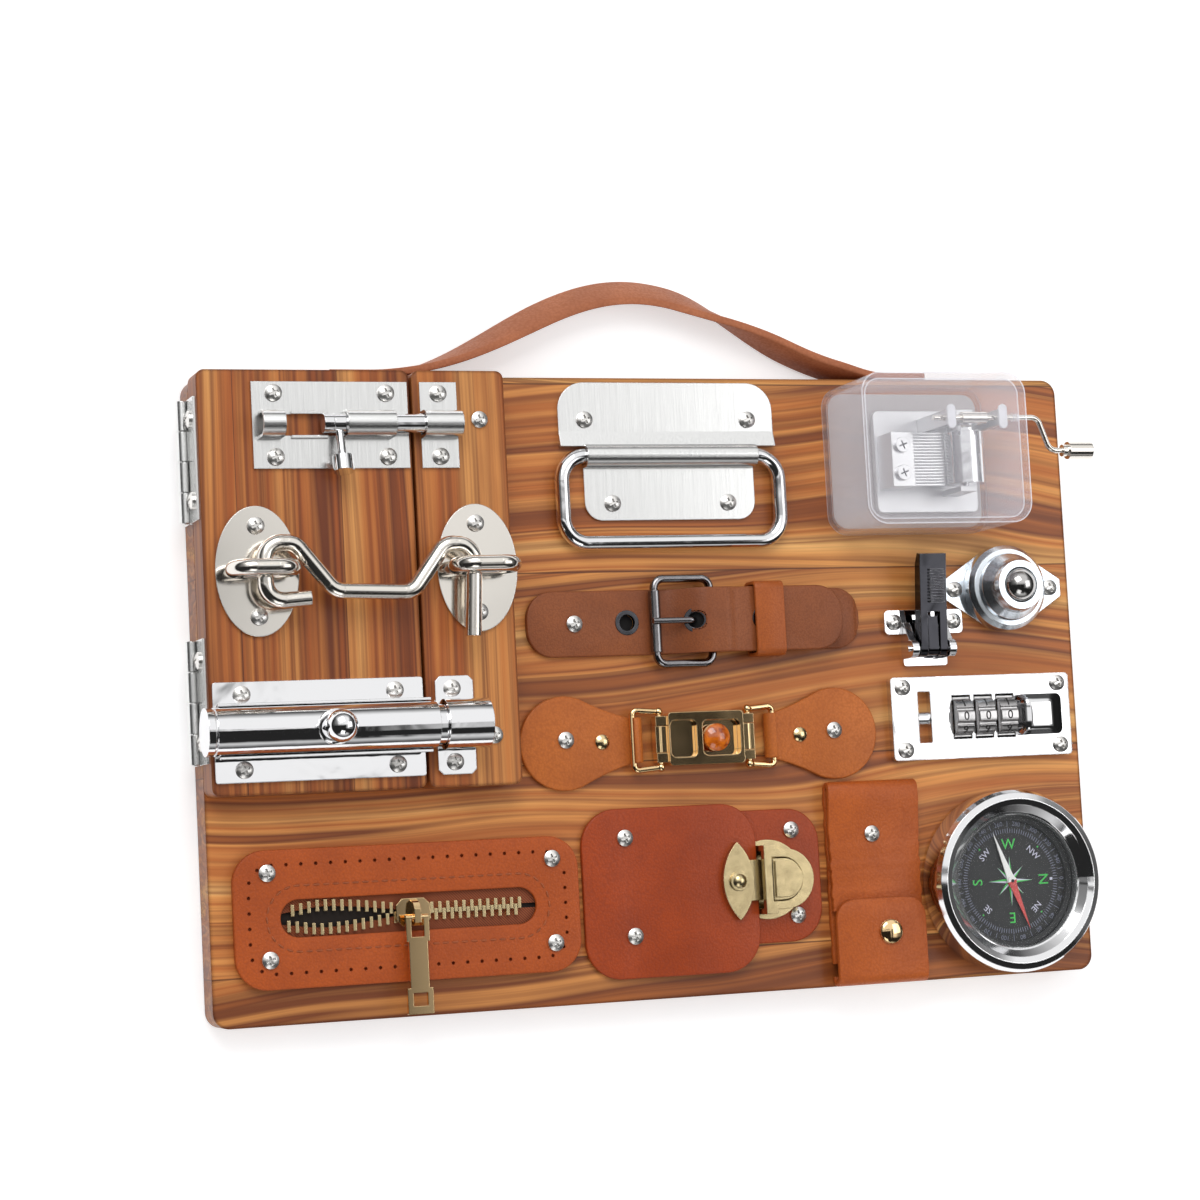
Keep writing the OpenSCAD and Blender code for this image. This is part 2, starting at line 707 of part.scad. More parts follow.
// The die-cast bed with its feet, drum posts and the two white posts of the crank shaft
module music_bedplate() color(zinc) difference() {
    union() {
        translate([bed_x, bed_y, bed_z]) rounded_plate(bed_w, bed_h, bed_t, 2);
        for (sx = [-1, 1], sy = [-1, 1])
            translate([bed_x + sx * (bed_w / 2 - 3), bed_y + sy * (bed_h / 2 - 3), face]) cylinder(d = 4, h = bed_z - face + lap);
        for (y = [drum_y - drum_l / 2 - 1.3, gear_y + 2.9])
            translate([drum_x - 3, y - 0.9, bed_z]) cube([6, 1.8, drum_z - bed_z + 2.5]);
        for (x = [drum_x - 10, drum_x + 8.7])
            translate([x - 1, gear_y - 2.5, bed_z]) cube([2, 5, crank_z - bed_z + 2.6]);
        translate([bed_x - bed_w / 2 + 1, drum_y - drum_l / 2, bed_z]) cube([8, drum_l, drum_z - bed_z - 1.4]);
    }
    translate([drum_x, drum_y, drum_z]) rotate([90, 0, 0]) cylinder(r = 1.2 + fit, h = 60, center = true);
    translate([drum_x, gear_y, crank_z]) rotate([0, 90, 0]) cylinder(r = crank_r + fit, h = 60, center = true);
}

// Steel comb: a clamped back and thin teeth that reach to the drum
module music_comb() color(steel) {
    back_x = bed_x - bed_w / 2 + 1;
    reach = drum_x - music_drum_d / 2 - 0.5;
    pitch = drum_l / 18;
    z = drum_z - 1.4;
    translate([back_x, drum_y - drum_l / 2, z]) cube([8, drum_l, 1.2]);
    for (i = [0 : 17])
        translate([back_x + 8 - lap, drum_y - drum_l / 2 + i * pitch + 0.15, z])
            cube([reach - back_x - 8, pitch - 0.3, 0.6]);
    for (s = [-1, 1]) translate([back_x + 3.6, drum_y + s * 4.6, z + 1.2 - lap]) cylinder(d = 5, h = 1.4);
}

module music_drum() color(chrome) translate([drum_x, drum_y, drum_z]) rotate([-90, 0, 0]) {
    cylinder(d = music_drum_d, h = drum_l - 0.8, center = true);
    cylinder(d = 2.4, h = drum_l + 3, center = true);
    translate([0, 0, drum_l / 2]) cylinder(d = 2.4, h = gear_y - drum_y - drum_l / 2 + 3.4);
    translate([0, 0, gear_y - drum_y - 1.5]) cylinder(r = drum_gear_r, h = 3);
    translate([0, 0, drum_l / 2 - 0.8]) cylinder(r = music_drum_d / 2 - 1, h = gear_y - drum_y - drum_l / 2);
}

// The crank: a worm shaft that leaves the case, a bent throw and a knurled finger knob
module music_crank() color(nickel) {
    throw_x = crank_exit_x + 7.5;
    knob_x = crank_exit_x + 16;
    translate([0, gear_y, crank_z]) {
        wire([
            [drum_x - 15, 0, 0], [throw_x, 0, 0], [throw_x + 4, -crank_throw, 0], [knob_x + 1, -crank_throw, 0]
        ], crank_r, crank_bend_r);
        bar([drum_x - 5, 0, 0], [drum_x + 4, 0, 0], worm_r);
        bar([knob_x, -crank_throw, 0], [knob_x + 2, -crank_throw, 0], 2);
        bar([knob_x + 2 - lap, -crank_throw, 0], [knob_x + 10.5, -crank_throw, 0], 2.9);
    }
}

// ---- Belt ----

belt_y = 20.3;
belt_left = -44.8;
belt_tip = belt_left + belt_l;
heel_x = 17.5;
heel_r = 1.3;
heel_z = face + seat + belt_t + free + heel_r;
roller_x = heel_x - 19.5;
roller_r = 1.9;
roller_z = face + seat + belt_t + free + roller_r;
base_top_z = heel_z + heel_r + free + belt_t;
base_flat_z = face + 1.9;
belt_high_z = base_top_z + 0.2;
buckle_w = belt_w + 6.5;
buckle_bend_r = 3.2;
loop_x = 36;
loop_w = 10.5;
loop_t = 1.3;
loop_travel = 12;
eyelet_xs = [belt_left + 33.8, belt_left + 55.9, belt_left + 79];
belt_run_z = belt_high_z - 1.2;
// The tongue strap climbs at one slope from under the roller to over the heel bar
belt_rise_x = roller_x + 3.5;
belt_rise_l = heel_x - 2 - belt_rise_x;
belt_slope = atan2(belt_high_z - face - seat, belt_rise_l);
belt_screw_dx = 15.9;
eyelet_rim_h = 0.45;
belt_screw = [belt_left + belt_screw_dx, belt_y, face + seat + belt_t];
prong_r = 1;

// Side profile of a strap of thickness t that follows a list of [x, height of its underside]
module strap_profile(path, t) polygon(concat(path, [for (i = [len(path) - 1 : -1 : 0]) path[i] + [0, t]]));

// Underside of the tongue strap at x, and the places of its eyelets on its upper side
function tongue_z(x) = x < belt_rise_x ? face + seat
    : x < heel_x - 2 ? face + seat + (x - belt_rise_x) * tan(belt_slope) : belt_run_z;
function on_slope(x) = x > belt_rise_x && x < heel_x - 2;
module at_eyelet(i) translate([eyelet_xs[i], belt_y, tongue_z(eyelet_xs[i]) + belt_t])
    rotate([0, on_slope(eyelet_xs[i]) ? -belt_slope : 0, 0]) children();

module belt_tongue_strap() color(belt_leather) difference() {
    intersection() {
        translate([0, belt_y, 0]) along_y(belt_w) strap_profile([
            [belt_left, face + seat], [belt_rise_x, face + seat], [heel_x - 2, belt_high_z],
            [heel_x + 3.5, belt_high_z], [heel_x + 8, belt_run_z], [belt_tip, belt_run_z]
        ], belt_t);
        translate([(belt_left + belt_tip) / 2, belt_y, 0])
            linear_extrude(face + 30) rounded_rect(belt_l, belt_w, belt_w * 0.42);
    }
    for (i = [0 : 2]) at_eyelet(i) cylinder(r = eyelet_r + 0.4, h = 12, center = true);
    translate(belt_screw) screw_hole();
}

module belt_base_strap() color(belt_leather) difference() {
    union() {
        intersection() {
            translate([0, belt_y, 0]) along_y(belt_w - 1) strap_profile([
                [heel_x + 1, base_flat_z], [loop_x + loop_w / 2 + loop_travel + 2, base_flat_z],
                [loop_x + loop_w / 2 + loop_travel + 6, face + seat], [belt_tip + 8.5, face + seat]
            ], belt_t - 0.3);
            translate([belt_tip + 8.5 - 40, belt_y, 0])
                linear_extrude(face + 30) rounded_rect(80, belt_w - 1, belt_w * 0.4);
        }
        // The turned end round the buckle's heel bar
        translate([heel_x, belt_y, heel_z]) rotate([90, 0, 0])
            cylinder(r = heel_r + free + belt_t - 0.3, h = belt_w - 1, center = true);
    }
    translate([heel_x, belt_y, heel_z]) rotate([90, 0, 0]) cylinder(r = heel_r + free, h = belt_w + 2, center = true);
    // Slot for the prong
    translate([heel_x - 6, belt_y - 2, face - 1]) cube([9, 4, 12]);
}

// Short tubes with a rim: the belt's eyelets and the rivets of the clasp's leather
module leather_rivets() color(gunmetal) {
    for (i = [0 : 2]) at_eyelet(i) difference() {
        union() {
            translate([0, 0, -belt_t * 0.6]) cylinder(r = eyelet_r + 0.4, h = belt_t * 0.6 + lap);
            cylinder(r = eyelet_r + 1.4, h = eyelet_rim_h);
        }
        cylinder(r = eyelet_r, h = 12, center = true);
    }
    for (p = clasp_rivet_points) translate(p) intersection() {
        cylinder(d = 4.8, h = 1.2);
        translate([0, 0, 1.2 - 4]) sphere(4);
    }
}

// The buckle's frame: heel bar, two sides and the roller on the bar that the belt passes under
module buckle_frame() color(gunmetal) translate([0, belt_y, 0]) {
    h = buckle_w / 2;
    heel = [heel_x, 0, heel_z];
    side_top = [roller_x, 0, roller_z];
    wire([
        heel + [0, -4, 0], heel + [0, -h, 0], side_top + [0, -h, 0], side_top + [0, h, 0], heel + [0, h, 0],
        heel + [0, 4, 0]
    ], heel_r, buckle_bend_r);
    bar(heel + [0, -5, 0], heel + [0, 5, 0], heel_r - wire_swell);
    bar(side_top + [0, -belt_w / 2 + 0.6, 0], side_top + [0, belt_w / 2 - 0.6, 0], roller_r);
}

// The prong turns on the heel bar, comes up through an eyelet and rests on the roller
module buckle_prong() color(gunmetal) translate([0, belt_y, 0]) {
    lift = roller_z + roller_r + prong_r + seat;
    difference() {
        translate([heel_x, 0, heel_z]) rotate([90, 0, 0]) cylinder(r = heel_r + 1.1, h = 3, center = true);
        translate([heel_x, 0, heel_z]) rotate([90, 0, 0]) cylinder(r = heel_r + fit, h = 4, center = true);
    }
    wire([
        [heel_x - heel_r - 0.5, 0, heel_z + 0.1], [heel_x - 5.3, 0, heel_z + 0.4], [heel_x - 7.9, 0, lift],
        [roller_x - 1.8, 0, lift]
    ], prong_r, 1.5);
}

// The leather keeper that slides along both layers
module belt_keeper_loop() color(belt_leather) {
    low = face + seat;
    high = belt_run_z + belt_t + 0.45 + free + loop_t;
    translate([loop_x, belt_y, (low + high) / 2]) along_x(loop_w) difference() {
        rounded_rect(belt_w + 2 * loop_t + 0.8, high - low, 1.5);
        rounded_rect(belt_w + 0.8, high - low - 2 * loop_t, 0.6);
    }
}

// ---- Jewel clasp ----

clasp_x = 12.8;
clasp_y = -17.6;
clasp_eye_dx = 24.2;
clasp_end_dx = 46.8;
clasp_neck_w = 14.5;
clasp_wire_r = 1;
clasp_eye_z = face + seat + clasp_leather_t + clasp_wire_r + 0.2;
clasp_body_t = 5;
clasp_body_z = face + 1.2;
clasp_screws = [for (s = [-1, 1]) [clasp_x + s * 46.5, clasp_y + 1, face + seat + clasp_leather_t]];
clasp_rivet_points = [for (s = [-1, 1]) [clasp_x + s * 34.3, clasp_y, face + seat + clasp_leather_t]];
gem_x = clasp_x + 3.4;
gem_w = 8.8;
gem_travel = 1.2;

// One round leather end drawn in to a neck that folds round the wire
module clasp_strap(s) {
    r = clasp_end_d / 2;
    reach = clasp_end_dx - clasp_eye_dx;
    corner = [reach, clasp_neck_w / 2];
    a = atan2(corner.y, corner.x) + acos(r / norm(corner));
    translate([clasp_x, clasp_y, face + seat]) mirror([s > 0 ? 1 : 0, 0, 0]) {
        translate([-clasp_end_dx, 0, 0]) linear_extrude(clasp_leather_t) {
            circle(r, $fn = 96);
            polygon([
                [r * cos(a), r * sin(a)], corner, [corner.x, -corner.y], [r * cos(a), -r * sin(a)]
            ]);
        }
        translate([-clasp_eye_dx, 0, clasp_eye_z - face - seat]) rotate([90, 0, 0])
            difference() {
                cylinder(r = clasp_wire_r + 0.2 + clasp_leather_t - 0.1, h = clasp_neck_w, center = true);
                cylinder(r = clasp_wire_r + 0.2, h = clasp_neck_w + 2, center = true);
            }
    }
}

module clasp_straps() color(clasp_leather) difference() {
    for (s = [-1, 1]) clasp_strap(s);
    at_each(clasp_screws) screw_hole();
    translate([clasp_x, clasp_y, clasp_eye_z]) for (s = [-1, 1])
        translate([s * clasp_eye_dx, 0, 0]) rotate([90, 0, 0]) cylinder(r = clasp_wire_r + 0.2, h = clasp_neck_w + 2, center = true);
}

// A wire bail at each end, from the body's corner pins out through the leather
module clasp_bails() color(gold) translate([clasp_x, clasp_y, clasp_eye_z]) for (s = [-1, 1]) {
    pin_x = s * (clasp_body_l / 2 + 2.4);
    knee_y = clasp_body_w / 2 + 0.4;
    end_y = clasp_neck_w / 2 + 2.4;
    wire([
        [pin_x, -knee_y, 0.6], [s * clasp_eye_dx, -end_y, 0], [s * clasp_eye_dx, end_y, 0], [pin_x, knee_y, 0.6]
    ], clasp_wire_r, 1.5);
    for (y = [-1, 1]) translate([pin_x, y * knee_y, 0.6]) {
        rotate([90 * y, 0, 0]) cylinder(r = clasp_wire_r, h = 2.8);
        sphere(1.45);
    }
}

module clasp_body() color(gold) translate([clasp_x, clasp_y, clasp_body_z]) difference() {
    union() {
        rounded_plate(clasp_body_l, clasp_body_w, clasp_body_t, 1.2);
        for (s = [-1, 1]) translate([s * (clasp_body_l / 2 + 1.6), 0, 0.3])
            linear_extrude(clasp_body_t - 1.6) square([5, 8.5], center = true);
        for (s = [-1, 1], y = [-1, 1])
            translate([s * (clasp_body_l / 2 + 1.4), y * (clasp_body_w / 2 - 2.6), 0.4])
                linear_extrude(clasp_body_t - 1.4) square([5.2, 3], center = true);
    }
    translate([-7.9, 0, clasp_body_t - 2]) rounded_plate(9, 12, 3, 2);
    translate([5.2, 0, clasp_body_t - 3]) rounded_plate(13, 11.5, 4, 2);
    translate([gem_x - clasp_x, 0, 0.8]) cylinder(d = gem_w - 3 + 2 * free, h = 5);
    for (s = [-1, 1]) translate([s * (clasp_body_l / 2 + 2.4), 0, clasp_eye_z - clasp_body_z + 0.6])
        rotate([90, 0, 0]) cylinder(r = clasp_wire_r + fit, h = clasp_body_w, center = true);
}

// The amber stone on its gold stem; pressing it lets the clasp open
module clasp_button() color("#c8701c") translate([gem_x, clasp_y, clasp_body_z]) {
    translate([0, 0, 2.2]) cylinder(d = gem_w - 3, h = 2);
    translate([0, 0, clasp_body_t - 1.5]) intersection() {
        cylinder(d = gem_w, h = 3.6);
        translate([0, 0, 3.6 - 6.5]) sphere(6.5);
    }
}

// ---- Toggle latch ----

toggle_x = right - 55.6;
toggle_ear_y = 18.3;
toggle_pin_y = 9;
toggle_pin_z = face + 6.2;
toggle_lever_w = 9.6;
toggle_cheek_w = 16;
toggle_screws = [for (s = [-1, 1]) [toggle_x + s * toggle_w * 0.38, toggle_ear_y, face + 1.6]];
toggle_pin_r = 1;

module toggle_base() color(chrome) difference() {
    union() {
        translate([toggle_x, toggle_ear_y, face]) rounded_plate(toggle_w, 8, 1.6, 1.6);
        translate([toggle_x, (toggle_ear_y + toggle_pin_y) / 2 - 1, face]) rounded_plate(toggle_cheek_w, 18, 1.4, 1);
        for (s = [-1, 1]) translate([toggle_x + s * (toggle_cheek_w / 2 - 1.2), toggle_pin_y, face])
            along_x(2.4) {
                translate([0, 6.2]) circle(3);
                translate([-3, 0]) square([6, 6.2]);
                polygon([[0, 0], [9, 0], [9, 2.5], [3, 6.2]]);
            }
        translate([toggle_x, toggle_pin_y, toggle_pin_z]) rotate([0, 90, 0])
            cylinder(r = toggle_pin_r, h = toggle_cheek_w + 1.6, center = true);
    }
    at_each(toggle_screws) screw_hole();
}

// The lever lies back along the base and is ribbed near its free end
module toggle_lever() color(chrome) translate([toggle_x, toggle_pin_y, toggle_pin_z]) difference() {
    union() {
        along_x(toggle_lever_w) {
            circle(2.6);
            polygon([
                [0, -2.6], [4, -1.6], [toggle_lever_l - 4, 1.2], [toggle_lever_l - 0.5, 3.2], [toggle_lever_l - 1, 5.4],
                [toggle_lever_l - 5, 4.8], [8, 3.2], [0, 2.6]
            ]);
        }
        for (i = [0 : 10]) translate([-1.6, toggle_lever_l - 17 + i * 1.05, 3.1 + i * 0.06]) rotate([3, 0, 0])
            cube([5.6, 0.55, 1.9]);
    }
    rotate([0, 90, 0]) cylinder(r = toggle_pin_r + fit, h = toggle_lever_w + 2, center = true);
    // The channel that the hook lies in
    translate([-2.2, -4, -4]) cube([4.4, 16, 9]);
}

// The small hook in the lever's channel, on the same pin
module toggle_hook() color(chrome) translate([toggle_x, toggle_pin_y, toggle_pin_z]) difference() {
    along_x(3.6) {
        circle(2.3);
        polygon([[0, -2.3], [8.5, -1.6], [10.5, 0.4], [10.5, 2.4], [8, 2.4], [0, 2.3]]);
    }
    rotate([0, 90, 0]) cylinder(r = toggle_pin_r + fit, h = 6, center = true);
}

// ---- Ball caster ----

caster_x = right - 25.7;
caster_y = 28.8;
caster_flange_t = 1.6;
caster_ball_z = face + 13.2;
caster_top = face + 15.4;
caster_screws = [for (s = [-1, 1]) [caster_x + s * (caster_flange_l / 2 - 4.2), caster_y, face + caster_flange_t]];

// Where a straight edge from the flange's end meets the round of the cup
caster_corner = [caster_flange_l / 2, 2.8];
caster_touch_a = atan2(caster_corner.y, caster_corner.x) + acos(caster_cup_d / 2 / norm(caster_corner));
caster_touch = caster_cup_d / 2 * [cos(caster_touch_a), sin(caster_touch_a)];

module caster_housing() color(zinc) difference() {
    union() {
        translate([caster_x, caster_y, face]) linear_extrude(caster_flange_t) {
            circle(d = caster_cup_d);
            polygon([
                [-caster_flange_l / 2, -2.8], [-caster_touch.x, -caster_touch.y], [caster_touch.x, -caster_touch.y],
                [caster_flange_l / 2, -2.8], [caster_flange_l / 2, 2.8], [caster_touch.x, caster_touch.y],
                [-caster_touch.x, caster_touch.y], [-caster_flange_l / 2, 2.8]
            ]);
        }
        translate([caster_x, caster_y, face]) rotate_extrude() polygon([
            [0, 0], [caster_cup_d / 2, 0], [caster_cup_d / 2, 5.4], [caster_cup_d / 2 - 1.4, 7],
            [caster_cup_d / 2 - 3, 7.2], [caster_cup_d / 2 - 3.2, 9], [caster_cup_d / 2 - 5.2, 11.6],
            [caster_ball_d / 2 + 2.4, 12.6], [caster_ball_d / 2 + 2.2, caster_top - face],
            [0, caster_top - face]
        ]);
    }
    translate([caster_x, caster_y, caster_ball_z]) sphere(caster_ball_d / 2 + free);
    translate([caster_x, caster_y, caster_ball_z]) cylinder(r = caster_ball_d / 2 - 0.1, h = 20);
    at_each(caster_screws) {
        screw_hole();
        cylinder(d = screw_head_d + 0.6, h = 10);
    }
}

module caster_ball() color(chrome) translate([caster_x, caster_y, caster_ball_z]) sphere(d = caster_ball_d);

// ---- Combination lock ----

lock_x = right - 3.8 - lock_w / 2;
lock_y = -13.9;
lock_top = face + lock_t;
lock_dial_w = 6.2;
lock_dial_pitch = 8.1;
lock_dial_x = lock_x + 0.6;
lock_axle_z = face - 0.9;
lock_axle_r = 1;
lock_window_h = 13.4;
lock_screws = [for (sx = [-1, 1], sy = [-1, 1]) [lock_x + sx * 28.7, lock_y + sy * 10.4, lock_top]];
lock_button_w = 16.6;
lock_button_h = 13.6;
lock_button_x = lock_x + 20.6;
lock_button_travel = 1.6;
lock_cheek_x = lock_dial_pitch * 1.5 + 0.9;

// The pocket in the board that the dials turn in
module lock_pocket() {
    translate([lock_dial_x, lock_y, face - 8.8]) linear_extrude(20)
        square([lock_dial_pitch * 3 + 5, lock_dial_d + 1.6], center = true);
}

module lock_plate() color(chrome) {
    difference() {
        translate([lock_x, lock_y, face]) rounded_plate(lock_w, lock_h, lock_t, 1.4);
        for (i = [-1, 0, 1]) translate([lock_dial_x + i * lock_dial_pitch, lock_y, face - 1]) linear_extrude(9)
            square([lock_dial_w + 2 * free, lock_window_h + 1.2], center = true);
        translate([lock_dial_x, lock_y, face - 1]) linear_extrude(lock_t)
            square([lock_dial_pitch * 3 - 0.8, lock_dial_d + 0.8], center = true);
        translate([lock_x - 21.1, lock_y + 0.3, face - 1]) linear_extrude(9) square([4.6, 17], center = true);
        translate([lock_button_x + lock_button_travel / 2, lock_y, face - 1]) linear_extrude(9)
            square([lock_button_w - 3 + lock_button_travel + 2 * free, lock_button_h - 3], center = true);
        at_each(lock_screws) screw_hole();
    }
    // Two cheeks and the axle that the dials turn on
    for (s = [-1, 1]) translate([lock_dial_x + s * lock_cheek_x, lock_y, face - 6]) linear_extrude(6 + lap)
        square([1.4, 9], center = true);
    translate([lock_dial_x, lock_y, lock_axle_z]) rotate([0, 90, 0])
        cylinder(r = lock_axle_r, h = 2 * lock_cheek_x + 1, center = true);
    // Half-round rest in the left slot
    translate([lock_x - 21.1, lock_y, face]) along_x(4.7) intersection() {
        circle(2.4);
        translate([-4, 0]) square([8, 4]);
    }
}

// A dial with ten flats between finger grooves
module lock_dial(i) color(nickel) translate([lock_dial_x + (i - 2) * lock_dial_pitch, lock_y, lock_axle_z])
    rotate([0, 90, 0]) difference() {
        cylinder(d = lock_dial_d, h = lock_dial_w, center = true);
        cylinder(r = lock_axle_r + fit, h = lock_dial_w + 1, center = true);
        for (k = [0 : 9]) rotate(k * 36 + 18) translate([lock_dial_d / 2 + 0.2, 0, 0])
            cylinder(r = 0.8, h = lock_dial_w + 1, center = true);
    }

module lock_dial_1() lock_dial(1);
module lock_dial_2() lock_dial(2);
module lock_dial_3() lock_dial(3);

// The square button slides aside to free a hasp in the left slot
module lock_button() color(chrome) translate([lock_button_x, lock_y, face]) {
    translate([0, 0, 0.4]) linear_extrude(lock_t) square([lock_button_w - 3, lock_button_h - 3.6], center = true);
    translate([0, 0, lock_t + 0.15]) rounded_plate(lock_button_w, lock_button_h, 1.6, 2);
    translate([0, 0, lock_t + 1.7]) rounded_plate(lock_button_w - 2.4, lock_button_h - 2.4, 0.8, 1.6);
}

// ---- Zipper ----

zip_x = -87.6;
zip_y = bottom + 32.2;
zip_tape_w = 10.8;
zip_tape_t = 0.5;
zip_tape_z = face + 0.7;
zip_chain_l = zip_slot_l + 12;
zip_tooth_t = 2;
zip_slider_x = zip_x + 0.6;
zip_slider_l = 11;
zip_open_y = 2.6;
zip_screws = [for (sx = [-1, 1], sy = [-1, 1])
    [zip_x + sx * 45.8 + 1, zip_y + sy * 13.2 + 1, face + zip_panel_t]];
zip_pocket_t = 1.6;
zip_pull_y = zip_y - 1.6;
zip_pull_z = face + zip_panel_t + 4.4;

module zipper_panel() color(tan_leather) difference() {
    translate([zip_x, zip_y, face]) rounded_plate(zip_panel_w, zip_panel_h, zip_panel_t, 10);
    translate([zip_x, zip_y, face - 1]) rounded_plate(zip_slot_l, zip_slot_h, zip_panel_t + 2, zip_slot_h / 2 - 0.1);
    translate([zip_x, zip_y, face - 1]) linear_extrude(1 + zip_pocket_t)
        square([zip_chain_l + 1, 2 * zip_tape_w + 4], center = true);
    at_each(zip_screws) screw_hole();
}

// How far each row stands from the middle at x: meshed on the slider's right, parted on its left
function zip_part(x) = x > zip_slider_x - 3 ? 0
    : zip_open_y * sin(min(90, (zip_slider_x - 3 - x) * 3.2)) * (x < zip_x - zip_slot_l / 2 + 12
        ? max(0.1, (x - zip_x + zip_chain_l / 2) / 18) : 1);

module zipper_chain() color(antique) for (s = [-1, 1]) {
    steps = 24;
    x0 = zip_x - zip_chain_l / 2;
    // Tape, its inner edge following the row of teeth
    translate([0, 0, zip_tape_z]) linear_extrude(zip_tape_t) polygon(concat(
        [for (i = [0 : steps]) let (x = x0 + i * zip_chain_l / steps) [x, zip_y + s * (zip_part(x) + 0.7)]],
        [[x0 + zip_chain_l, zip_y + s * zip_tape_w], [x0, zip_y + s * zip_tape_w]]
    ));
    count = floor((zip_slot_l - 5) / zip_pitch) - 1;
    for (i = [0 : count]) let (x = zip_x - zip_slot_l / 2 + 2.5 + i * zip_pitch + (s > 0 ? zip_pitch / 2 : 0))
        translate([x - 0.55, zip_y + s * (zip_part(x) + 1.05) - 1.75, zip_tape_z + zip_tape_t - lap])
            cube([1.1, 3.5, zip_tooth_t - zip_tape_t]);
}

module zipper_slider() color(gold) {
    top_z = zip_tape_z + zip_tooth_t + free;
    translate([zip_slider_x, zip_y, top_z]) {
        linear_extrude(1.2) chamfered_rect(zip_slider_l, 8.6, 2);
        for (s = [-1, 1]) translate([0, s * 3.95, -0.9]) linear_extrude(2.1) square([zip_slider_l - 4, 0.7], center = true);
    }
    // Crown that holds the pull
    translate([zip_slider_x, zip_y, top_z + 1.2 - lap]) along_x(2.2) difference() {
        polygon([[-4.2, 0], [3.8, 0], [3, 3.6], [1, 5], [-3.2, 5], [-4.2, 3.6]]);
        translate([zip_pull_y - zip_y, zip_pull_z - top_z - 1.2]) circle(1.15);
    }
}

// The pull tab hangs from a pin through the crown: a window, a solid bar and a second window
module zipper_pull() color(gold) translate([zip_slider_x, zip_pull_y, zip_pull_z]) {
    rotate([0, 90, 0]) cylinder(r = 0.85, h = 7.4, center = true);
    translate([0, 0, -0.8]) linear_extrude(1.6) difference() {
        union() {
            translate([0, -3.4]) square([7.4, 7.4 + 0.6], center = true);
            translate([0, -zip_pull_l / 2 - 2]) square([6, zip_pull_l - 6], center = true);
            translate([0, -zip_pull_l + 3.4]) square([8.2, 8], center = true);
        }
        translate([0, -1.9]) square([4, 8.2], center = true);
        translate([0, -zip_pull_l + 3.9]) square([4.6, 4], center = true);
    }
}

// ---- Flap with tuck lock ----

flap_x = -0.8;
flap_y = bottom + 34;
flap_right = flap_x + flap_w / 2;
patch_t = 1.6;
patch_right = flap_right + 23;
patch_left = 6;
patch_h = 43;
patch_y = flap_y + 3;
flap_low_z = face + seat;
flap_high_z = face + patch_t + 0.3;
tuck_y = flap_y + 2;
tuck_x = flap_right + 1;
tuck_base_z = face + patch_t;
tuck_tongue_z = flap_high_z + flap_t + 0.3;
tuck_tongue_t = 1;
tuck_travel = 8;
flap_screws = [[flap_x - 14.8, flap_y + 17.6, flap_low_z + flap_t], [flap_x - 12.9, flap_y - 13.6, flap_low_z + flap_t]];
patch_screws = [[flap_right + 13.3, patch_y + 14.6, tuck_base_z], [flap_right + 14.2, patch_y - 13, tuck_base_z]];

module flap_leather() color(tan_leather) difference() {
    intersection() {
        translate([0, flap_y, 0]) along_y(flap_h) strap_profile([
            [flap_x - flap_w / 2, flap_low_z], [patch_left - 6, flap_low_z], [patch_left - 1, flap_high_z],
            [flap_right, flap_high_z]
        ], flap_t);
        translate([flap_x, flap_y, 0]) linear_extrude(face + 20) rounded_rect(flap_w, flap_h, 12);
    }
    at_each(flap_screws) screw_hole();
}

module flap_base_patch() color(tan_leather) difference() {
    translate([(patch_left + patch_right) / 2, patch_y, face]) rounded_plate(patch_right - patch_left, patch_h, patch_t, 11);
    at_each(patch_screws) screw_hole();
}

// Round base, a bar across its mouth and a D-shaped frame round the button
flap_clear = 0.7;

module tuck_lock_case() color(antique) translate([tuck_x, tuck_y, tuck_base_z]) difference() {
    union() {
        translate([3, 0, 0]) linear_extrude(0.8) difference() {
            circle(12.8);
            translate([-3 - flap_clear - 20, -20]) square([20, 40]);
        }
        translate([-0.6, -tuck_bar_h / 2, 5]) cube([4, tuck_bar_h, 2.4]);
        for (s = [-1, 1]) translate([-0.6, s * (tuck_bar_h / 2 - 0.9) - 0.9, 0.7]) cube([4, 1.8, 4.4]);
        translate([3.3, 0, 0.7]) linear_extrude(6.3) tuck_d(9.6);
    }
    translate([1.95, 0, 0.81]) linear_extrude(10) tuck_d(7.1);
    translate([-2, -7, 2]) cube([16, 14, 2.2]);
}

// A D shape, flat side at x = 0
module tuck_d(r) {
    translate([0, -r]) square([3.6, 2 * r]);
    intersection() {
        translate([3.6, 0]) circle(r);
        translate([0, -r]) square([r + 4, 2 * r]);
    }
}

module tuck_lock_button() color(antique) translate([tuck_x + 2.2, tuck_y, tuck_base_z + 4.9]) {
    linear_extrude(2.6) tuck_d(6.6);
    translate([0.6, 0, 2.5]) linear_extrude(0.8) tuck_d(5.8);
}

// A leaf-shaped plate with a domed rivet, and the tongue that slides into the lock
module tuck_leaf_plate() color(antique) {
    leaf_w = 10.6;
    leaf_h = 25;
    r = (pow(leaf_h / 2, 2) + pow(leaf_w / 2, 2)) / leaf_w;
    translate([flap_right - 7.4, tuck_y, tuck_tongue_z]) {
        linear_extrude(1.8) intersection_for (s = [-1, 1]) translate([s * (r - leaf_w / 2), 0]) circle(r, $fn = 96);
        translate([0, 0, 1.7]) cylinder(d = 6.2, h = 0.9);
        intersection() {
            translate([0, 0, 0.6]) sphere(3.1);
            translate([0, 0, 1.7]) cylinder(d = 5, h = 4);
        }
        linear_extrude(tuck_tongue_t) translate([0, -6.5]) square([7.4 + 1 + 8, 13]);
    }
}

// ---- Snap strap ----

